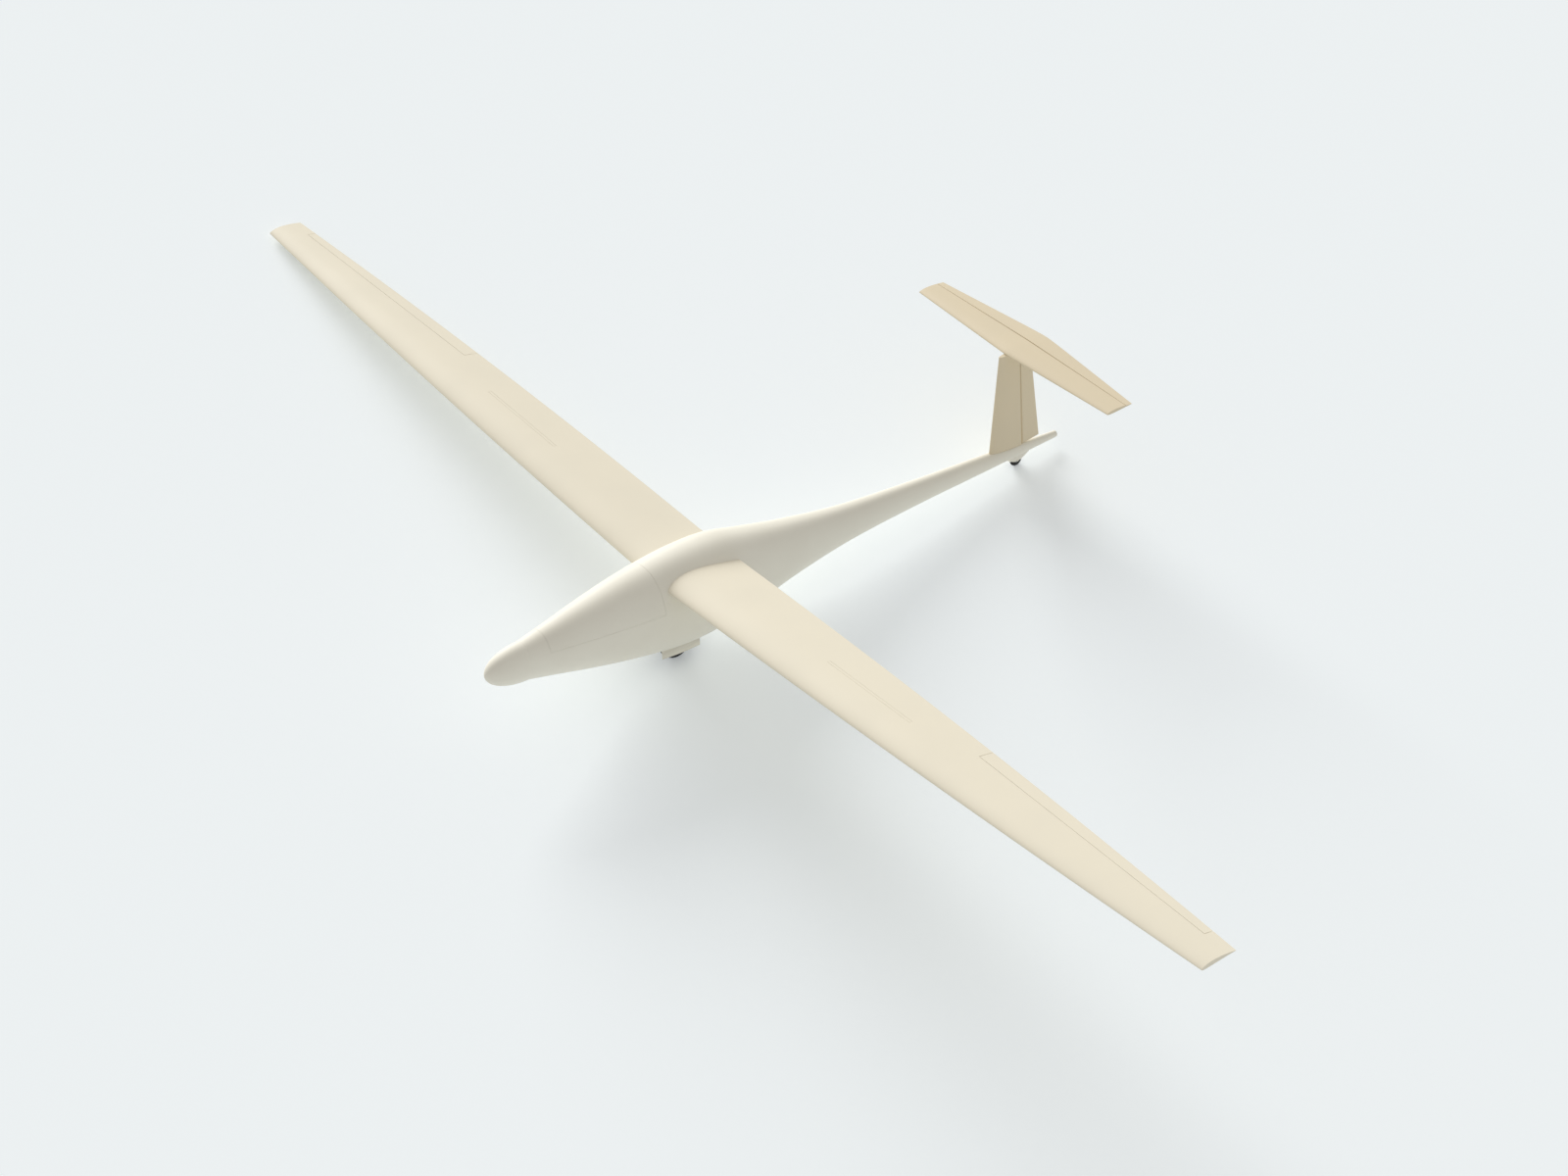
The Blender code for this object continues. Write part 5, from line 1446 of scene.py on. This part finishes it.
def strap(path, side, across):
    """Webbing drawn tight over the seat along a path, on one side."""
    path = [[Vector((side * x, y, z)) for x, y, z in pair] for pair in path]
    points, outs = [], []
    for (start, start_out), (end, end_out) in zip(path, path[1:]):
        for share in spread(0, 1, 13)[:-1]:
            points.append(start.lerp(end, share))
            outs.append(start_out.lerp(end_out, share).normalized())
    points.append(path[-1][0])
    outs.append(path[-1][1].normalized())
    floors = []
    for point, out in zip(points, outs):
        heights = [0.0]
        for offset in spread(-STRAP_WIDTH / 2, STRAP_WIDTH / 2, 5):
            hit = seat_tree.ray_cast(point + across * offset + out * STRAP_REACH, -out)
            if hit[0]:
                heights.append(STRAP_REACH - hit[3])
        floors.append(max(heights) + CLEARANCE)
    heights = list(floors)
    for _ in range(400):
        middle = [max(floors[i], (heights[i - 1] + heights[i + 1]) / 2) for i in range(1, len(heights) - 1)]
        heights = heights[:1] + middle + heights[-1:]
    rows = [[point + out * height + across * offset
             for offset in spread(-STRAP_WIDTH / 2, STRAP_WIDTH / 2, 7)]
            for point, out, height in zip(points, outs, heights)]
    made = pressed(rows, outs[len(outs) // 2], -STRAP_THICKNESS)
    bmesh.ops.recalc_face_normals(made, faces=made.faces)
    return made


for side, label in SIDES:
    for name, path, across in (
            ("shoulder_strap_", SHOULDER_PATH, Vector((1, 0, 0))),
            ("lap_strap_", LAP_PATH, Vector((side * 0.35, 0.94, 0)).normalized())):
        add_piece(name + label, strap(path, side, across), "airframe", strap_finish)

buckle_foot = seat_tree.ray_cast(Vector((0, BUCKLE_Y, 0)), Vector((0, 0, -1)))[0] + Vector((0, 0, 0.003))
buckle = bmesh.new()
add_turned(buckle, ((0, 0), (0, 0.030), (0.010, 0.030), (0.013, 0.027), (0.013, 0.020), (0.018, 0.018),
                    (0.018, 0)), buckle_foot, 48, axis=(0, 0.12, 1))
add_blocks(buckle, buckle_foot, (
    ((0.026, -0.012, 0.002), (0.070, 0.018, 0.007)), ((-0.070, -0.012, 0.002), (-0.026, 0.018, 0.007)),
    ((-0.030, 0.018, 0.002), (0.030, 0.050, 0.007))))
add_piece("harness_buckle", rounded(buckle, 0.0012), "airframe", alloy_finish)

anchors = bmesh.new()
for side in (1, -1):
    wall_spot = Vector((side * 0.075, BULKHEAD_Y, 0.216))
    pan_spot = Vector((side * 0.212, 1.485, curve_z(PAN, 1.485)))
    add_block(anchors, wall_spot + Vector((-0.024, -0.006, -0.020)), wall_spot + Vector((0.024, 0, 0.010)))
    add_rod(anchors, wall_spot - Vector((0, 0.011, 0)), wall_spot - Vector((0, 0.005, 0)), 0.006, 6)
    add_block(anchors, pan_spot - Vector((0.012, 0.023, 0)), pan_spot + Vector((0.012, 0.023, 0.006)))
    bolt = pan_spot + Vector((side * 0.002, 0, 0))
    add_rod(anchors, bolt + Vector((0, 0, 0.004)), bolt + Vector((0, 0, 0.011)), 0.006, 6)
add_piece("harness_anchors", rounded(anchors, 0.001), "airframe", alloy_finish)

# Instrument panel: a black crackle-painted plate on a pedestal, with a soft shade over its top edge. It
# carries round instruments with plain dials, a row of switches and a radio's face. Each dial is (X, Z,
# radius, needle's angle).
PANEL_FRONT = 0.86
PANEL_REAR = 0.90
PANEL_THICKNESS = 0.012
RADIO_FACE = 0.8930
PANEL_HALF_OUTLINE = ((0.05, -0.06), (0.12, -0.035), (0.138, -0.022), (0.14, 0.0), (0.14, 0.085),
                      (0.135, 0.108), (0.112, 0.140), (0.092, 0.150))
PEDESTAL_HALF_WIDTH = 0.05
PEDESTAL_FRONT = 0.80
PEDESTAL_REAR = 0.89
DIALS = ((-0.088, 0.062, 0.037, 215), (0.0, 0.098, 0.037, 10), (0.088, 0.062, 0.037, 270),
         (-0.042, 0.012, 0.027, 270), (0.042, 0.012, 0.027, 0))
DIAL_TICKS = 20
DIAL_STEPS = 48
AFT = Vector((0, 1, 0))


def crackle_paint(point):
    cells = point.node("TexVoronoi", {"feature": "DISTANCE_TO_EDGE"}, {"Vector": point, "Scale": 900.0})
    ridges = eased(cells, 0.02, 0.25)
    return {"Base Color": mixed(ridges, (0.020, 0.020, 0.022, 1), (0.045, 0.045, 0.048, 1)),
            "Roughness": 0.5 + ridges * 0.15,
            "Normal": bumped(ridges, 0.0004, 0.7)}


def dial_black(point):
    return {"Base Color": mixed(noise(point, 60.0), (0.010, 0.010, 0.011, 1), (0.020, 0.020, 0.021, 1)),
            "Roughness": 0.25 + noise(point, 25.0) * 0.12}


def plastic(name, colour, worn):
    """A coloured plastic knob, dulled and paled where the hand rubs it."""
    def varying(point):
        rubbed = eased(noise(point, 85.0, 3.0), 0.40, 0.75)
        return {"Base Color": mixed(rubbed * 0.6, colour, worn),
                "Roughness": 0.32 + rubbed * 0.25,
                "Normal": bumped(noise(point, 500.0), 0.0001, 0.3)}
    return finish(name, {}, varying)


crackle_finish = finish("crackle_paint", {"Specular IOR Level": 0.4}, crackle_paint)
dial_finish = finish("dial_black", {"Coat Weight": 0.6}, dial_black)
mark_finish = plastic("dial_white", (0.78, 0.78, 0.74, 1), (0.66, 0.65, 0.60, 1))
black_finish = plastic("black_plastic", (0.025, 0.025, 0.027, 1), (0.075, 0.073, 0.070, 1))

rings = [closed([(x, y, z) for x, z in both_sides(PANEL_HALF_OUTLINE)])
         for y in (PANEL_REAR - PANEL_THICKNESS, PANEL_REAR)]
panel = rounded(lofted(rings, capped=True), 0.0025)
pedestal = bmesh.new()
add_block(pedestal, (-PEDESTAL_HALF_WIDTH, PEDESTAL_FRONT, -0.2), (PEDESTAL_HALF_WIDTH, PEDESTAL_REAR, 0.0))
for vert in pedestal.verts:
    if vert.co.z < -0.1:
        vert.co.z = body_bottom(vert.co.y, PEDESTAL_HALF_WIDTH) + WALL + SHUT_LINE
join(panel, pedestal)
add_block(panel, (-0.045, PANEL_FRONT, -0.01), (0.045, PANEL_REAR - 0.004, 0.12))
add_piece("panel_plate", rounded(panel, 0.002), "airframe", crackle_finish, ["instrument_panel"])

shade_line = both_sides(PANEL_HALF_OUTLINE[3:])
rows = [[(x * 1.035, y, z * 1.03 + 0.001) for x, z in shade_line]
        for y in spread(PANEL_FRONT - 0.03, PANEL_REAR + 0.026, 9)]
add_piece("panel_shade", rounded(pressed(rows, (0, 0, 1), 0.004), 0.0015), "airframe", black_finish)


def add_mark(bm, centre, angle, inner, outer, width, lift):
    """A white bar on a dial, between two distances from its centre."""
    bmesh.ops.create_cube(bm, size=1.0, matrix=(
        Matrix.Translation(centre + AFT * lift) @ Matrix.Rotation(angle, 4, "Y")
        @ Matrix.Translation((0, 0, (inner + outer) / 2))
        @ Matrix.Diagonal((width, 0.0006, outer - inner, 1))))


faces, bezels, marks = bmesh.new(), bmesh.new(), bmesh.new()
for x, z, radius, needle in DIALS:
    centre = Vector((x, PANEL_REAR, z))
    add_turned(faces, ((-0.020, 0), (-0.020, radius * 0.86), (0.0012, radius * 0.86), (0.0012, 0)),
               centre, DIAL_STEPS, AFT)
    add_turned(bezels, ((-0.002, radius * 0.84), (-0.002, radius), (0.0030, radius), (0.0048, radius * 0.94),
                        (0.0030, radius * 0.84)), centre, DIAL_STEPS, AFT)
    for screw in range(4):
        angle = math.radians(45 + 90 * screw)
        spot = centre + Vector((math.cos(angle), 0, math.sin(angle))) * radius * 1.13
        add_rod(bezels, spot - AFT * 0.001, spot + AFT * 0.0018, 0.0026, 12)
    for tick in range(DIAL_TICKS):
        inner, width = (0.70, 0.0008) if tick % 2 else (0.62, 0.0016)
        add_mark(marks, centre, math.tau * tick / DIAL_TICKS, radius * inner, radius * 0.80, width, 0.0014)
    add_mark(marks, centre, math.radians(needle), -radius * 0.12, radius * 0.62, 0.0018, 0.0022)
    add_rod(marks, centre + AFT * 0.0010, centre + AFT * 0.0032, 0.0030, 16)
for name, bm, material in (("dial_faces", faces, dial_finish), ("dial_bezels", bezels, black_finish),
                           ("dial_marks", marks, mark_finish)):
    add_piece(name, bm, "airframe", material)

radio = bmesh.new()
add_block(radio, (-0.040, 0.885, -0.110), (0.040, 0.8935, -0.045))
add_block(radio, (-0.030, 0.885, -0.185), (0.030, 0.8925, -0.125))
for x in (-0.030, 0.030):
    add_turned(radio, ((0, 0), (0, 0.0075), (0.012, 0.0065), (0.012, 0)), (x, RADIO_FACE, -0.097), 24, AFT)
for x in (-0.020, 0.0, 0.020):
    add_rod(radio, (x, 0.892, -0.155), (x, 0.899, -0.155), 0.0045, 6)
    add_rod(radio, (x, 0.898, -0.155), (x, 0.908, -0.150), 0.0016, 12, 0.0024)
add_piece("radio_and_switches", rounded(radio, 0.0008), "airframe", black_finish)
window = bmesh.new()
add_block(window, (-0.018, 0.889, -0.078), (0.018, 0.8942, -0.056))
add_piece("radio_window", rounded(window, 0.0008), "airframe", dial_finish)

# Stick: a painted steel tube with a moulded black grip and a red button. It comes up through a ribbed
# rubber boot, which is clamped to the seat pan.
STICK_FOOT = Vector((0, 1.13, -0.26))
STICK_HEAD = Vector((0, 1.10, -0.02))
GRIP_FOOT = Vector((0, 1.103, -0.04))
GRIP_HEAD = Vector((0, 1.088, 0.06))

stick = bmesh.new()
add_rod(stick, STICK_FOOT + Vector((0, 0, 0.03)), STICK_HEAD, 0.011)
add_piece("stick_tube", rounded(stick, 0.001), "airframe", steel_finish, ["control_stick"])
grip = bmesh.new()
grip_shape = ((0, 0), (0, 0.0155), (0.003, 0.0175), (0.010, 0.0175), (0.016, 0.0145), (0.026, 0.0165),
              (0.036, 0.0150), (0.046, 0.0170), (0.056, 0.0150), (0.066, 0.0168), (0.078, 0.0160),
              (0.090, 0.0172), (0.098, 0.0150), (0.101, 0.0090), (0.101, 0))
add_turned(grip, grip_shape, GRIP_FOOT, 40, axis=GRIP_HEAD - GRIP_FOOT)
add_piece("stick_grip", grip, "airframe", black_finish)
button = bmesh.new()
button_spot = GRIP_FOOT.lerp(GRIP_HEAD, 0.86)
add_rod(button, button_spot - Vector((0, 0.021, 0.002)), button_spot, 0.0055, 24)
add_piece("stick_button", rounded(button, 0.001), "airframe",
          plastic("red_plastic", (0.48, 0.035, 0.025, 1), (0.40, 0.09, 0.07, 1)))
boot = bmesh.new()
boot_foot = Vector((0, 1.128, curve_z(PAN, 1.128) - 0.004))
boot_shape = [(0, 0.012), (0, 0.056), (0.006, 0.056)]
for fold in range(5):
    boot_shape += [(up + fold * 0.011, radius - fold * 0.0065)
                   for up, radius in ((0.012, 0.046), (0.0165, 0.043))]
boot_shape += [(0.070, 0.0145), (0.078, 0.0140), (0.078, 0.0112)]
add_turned(boot, boot_shape, boot_foot, 48, axis=(0, -0.125, 0.99))
add_piece("stick_boot", boot, "airframe", tyre_finish)

# Rudder pedals: two pressed steel plates with tread ribs and heel loops. They sit on a cross tube that is
# held in a bracket at each wall.
PEDAL_Y = 0.66
PEDAL_Z = -0.19
PEDAL_X = 0.08
PEDAL_HALF = 0.035
PEDAL_FOOT = -0.03
PEDAL_HEAD = 0.14
PEDAL_BRACKET = 0.018


def pedal_spot(side, across, up):
    """A point on the face of a pedal, which leans forwards and curls back at its ends."""
    lean = 0.032 * (up - PEDAL_FOOT) / (PEDAL_HEAD - PEDAL_FOOT)
    curl = 0.010 * ((up - 0.03) / 0.1) ** 2
    return Vector((side * PEDAL_X + across, PEDAL_Y + 0.002 - lean + curl, PEDAL_Z + up))


pedals = bmesh.new()
pedal_axis = Vector((0, PEDAL_Y, PEDAL_Z))
wall_x = inner_half_width(PEDAL_Y, PEDAL_Z) + 0.001
bracket_x = inner_half_width(PEDAL_Y - PEDAL_BRACKET, PEDAL_Z - PEDAL_BRACKET)
add_cross_rod(pedals, pedal_axis, -wall_x, wall_x, 0.010)
for side in (1, -1):
    add_cross_rod(pedals, pedal_axis, side * (bracket_x - 0.018), side * bracket_x, PEDAL_BRACKET)
    rows = [[pedal_spot(side, across, up) for across in spread(-PEDAL_HALF, PEDAL_HALF, 9)]
            for up in spread(PEDAL_FOOT, PEDAL_HEAD, 13)]
    join(pedals, pressed(rows, AFT, 0.004))
    for up in (0.02, 0.045, 0.07, 0.095, 0.12):
        rib = PEDAL_HALF * 0.86
        add_cross_rod(pedals, pedal_spot(side, 0, up), -rib, rib, 0.0028, 12)
    middle = pedal_axis + Vector((side * PEDAL_X, 0, 0))
    for edge in (-0.028, 0.028):
        add_rod(pedals, middle + Vector((edge, 0, 0)), middle + Vector((edge, 0.030, -0.028)), 0.004, 12)
    add_cross_rod(pedals, middle + Vector((0, 0.029, -0.027)), -0.031, 0.031, 0.004, 12)
add_piece("pedals", rounded(pedals, 0.0008), "airframe", steel_finish, ["rudder_pedals"])

# Side levers: steel rods on brackets at the walls, with a blue knob for the airbrakes on the left and a
# black one for the gear on the right. The yellow tow release is on the panel's left.
LEVER_X = 0.235
LEVERS = (
    (1, "airbrake", 1.10, 1.40, -0.10, "blue_plastic", (0.030, 0.105, 0.36, 1), (0.08, 0.17, 0.38, 1)),
    (-1, "gear", 1.12, 1.34, -0.14, "gear_black_plastic", (0.03, 0.03, 0.03, 1), (0.08, 0.08, 0.08, 1)),
)
LEVER_RADIUS = 0.008
KNOB_OUTLINE = ((0, 0), (0.001, 0.009), (0.006, 0.0138), (0.018, 0.0150), (0.040, 0.0128), (0.062, 0.0145),
                (0.080, 0.0138), (0.088, 0.0105), (0.090, 0))

for side, label, y_front, y_rear, z, knob_name, colour, worn in LEVERS:
    lever = bmesh.new()
    front, rear = Vector((side * LEVER_X, y_front, z)), Vector((side * LEVER_X, y_rear, z))
    add_rod(lever, front, rear, LEVER_RADIUS)
    for spot in (front + AFT * 0.09, rear - AFT * 0.02):
        wall_x = inner_half_width(spot.y, z) + 0.0015 - LEVER_X
        add_bolted(lever, spot, side, ((0, wall_x, 0.006, 32), (wall_x - 0.004, wall_x, 0.018, 32)))
        add_rod(lever, spot - AFT * 0.010, spot + AFT * 0.010, 0.0115)
    lever_name = label + "_lever"
    add_piece(lever_name + "_rod", rounded(lever, 0.001), "airframe", steel_finish, [lever_name])
    knob = bmesh.new()
    add_turned(knob, KNOB_OUTLINE, front - AFT * 0.03, 40, AFT)
    add_piece(label + "_knob", knob, "airframe", plastic(knob_name, colour, worn))

release = bmesh.new()
release_spot = Vector((0.118, PANEL_REAR, -0.012))
add_rod(release, release_spot - AFT * 0.004, release_spot + AFT * 0.022, 0.0035, 20)
add_turned(release, ((0, 0), (0.001, 0.009), (0.005, 0.0125), (0.013, 0.0125), (0.017, 0.009), (0.018, 0)),
           release_spot + AFT * 0.018, 36, AFT)
add_piece("release_knob", release, "airframe",
          plastic("yellow_plastic", (0.62, 0.43, 0.03, 1), (0.58, 0.45, 0.14, 1)))

# Studio: a large pale floor under a wide soft light from beyond the right wing, and an even pale sky. The
# floor glows a little, so that it is as light as the backdrop.
FLOOR_SIZE = 1000
FLOOR_COLOUR = (0.785, 0.825, 0.845, 1)
FLOOR_GLOW = 0.27
SUN_STRENGTH = 2.8
SUN_ANGLE = math.radians(35)
SKY_COLOUR = (1.0, 0.985, 0.965, 1)
SKY_STRENGTH = 0.535
LIGHT_FROM = attitude @ Vector((-0.87, 0.14, 0.47))

floor = bmesh.new()
bmesh.ops.create_grid(floor, x_segments=1, y_segments=1, size=FLOOR_SIZE / 2)
floor_mesh = bpy.data.meshes.new("floor")
floor.to_mesh(floor_mesh)
floor.free()
floor_piece = placed("floor", floor_mesh)
floor_mesh.materials.append(finish("studio_floor", {
    "Roughness": 0.9, "Base Color": FLOOR_COLOUR, "Specular IOR Level": 0.0,
    "Emission Color": FLOOR_COLOUR, "Emission Strength": FLOOR_GLOW}, lambda point: {}))

sun_data = bpy.data.lights.new("key_light", "SUN")
sun_data.energy = SUN_STRENGTH
sun_data.angle = SUN_ANGLE
sun_data.color = (1.0, 0.995, 0.98)
placed("key_light", sun_data).rotation_euler = LIGHT_FROM.to_track_quat("Z", "Y").to_euler()

world = bpy.data.worlds.new("studio")
world.use_nodes = True
backdrop = world.node_tree.nodes["Background"]
backdrop.inputs["Color"].default_value = SKY_COLOUR
backdrop.inputs["Strength"].default_value = SKY_STRENGTH
bpy.context.scene.world = world
bpy.context.scene.view_settings.view_transform = "Standard"
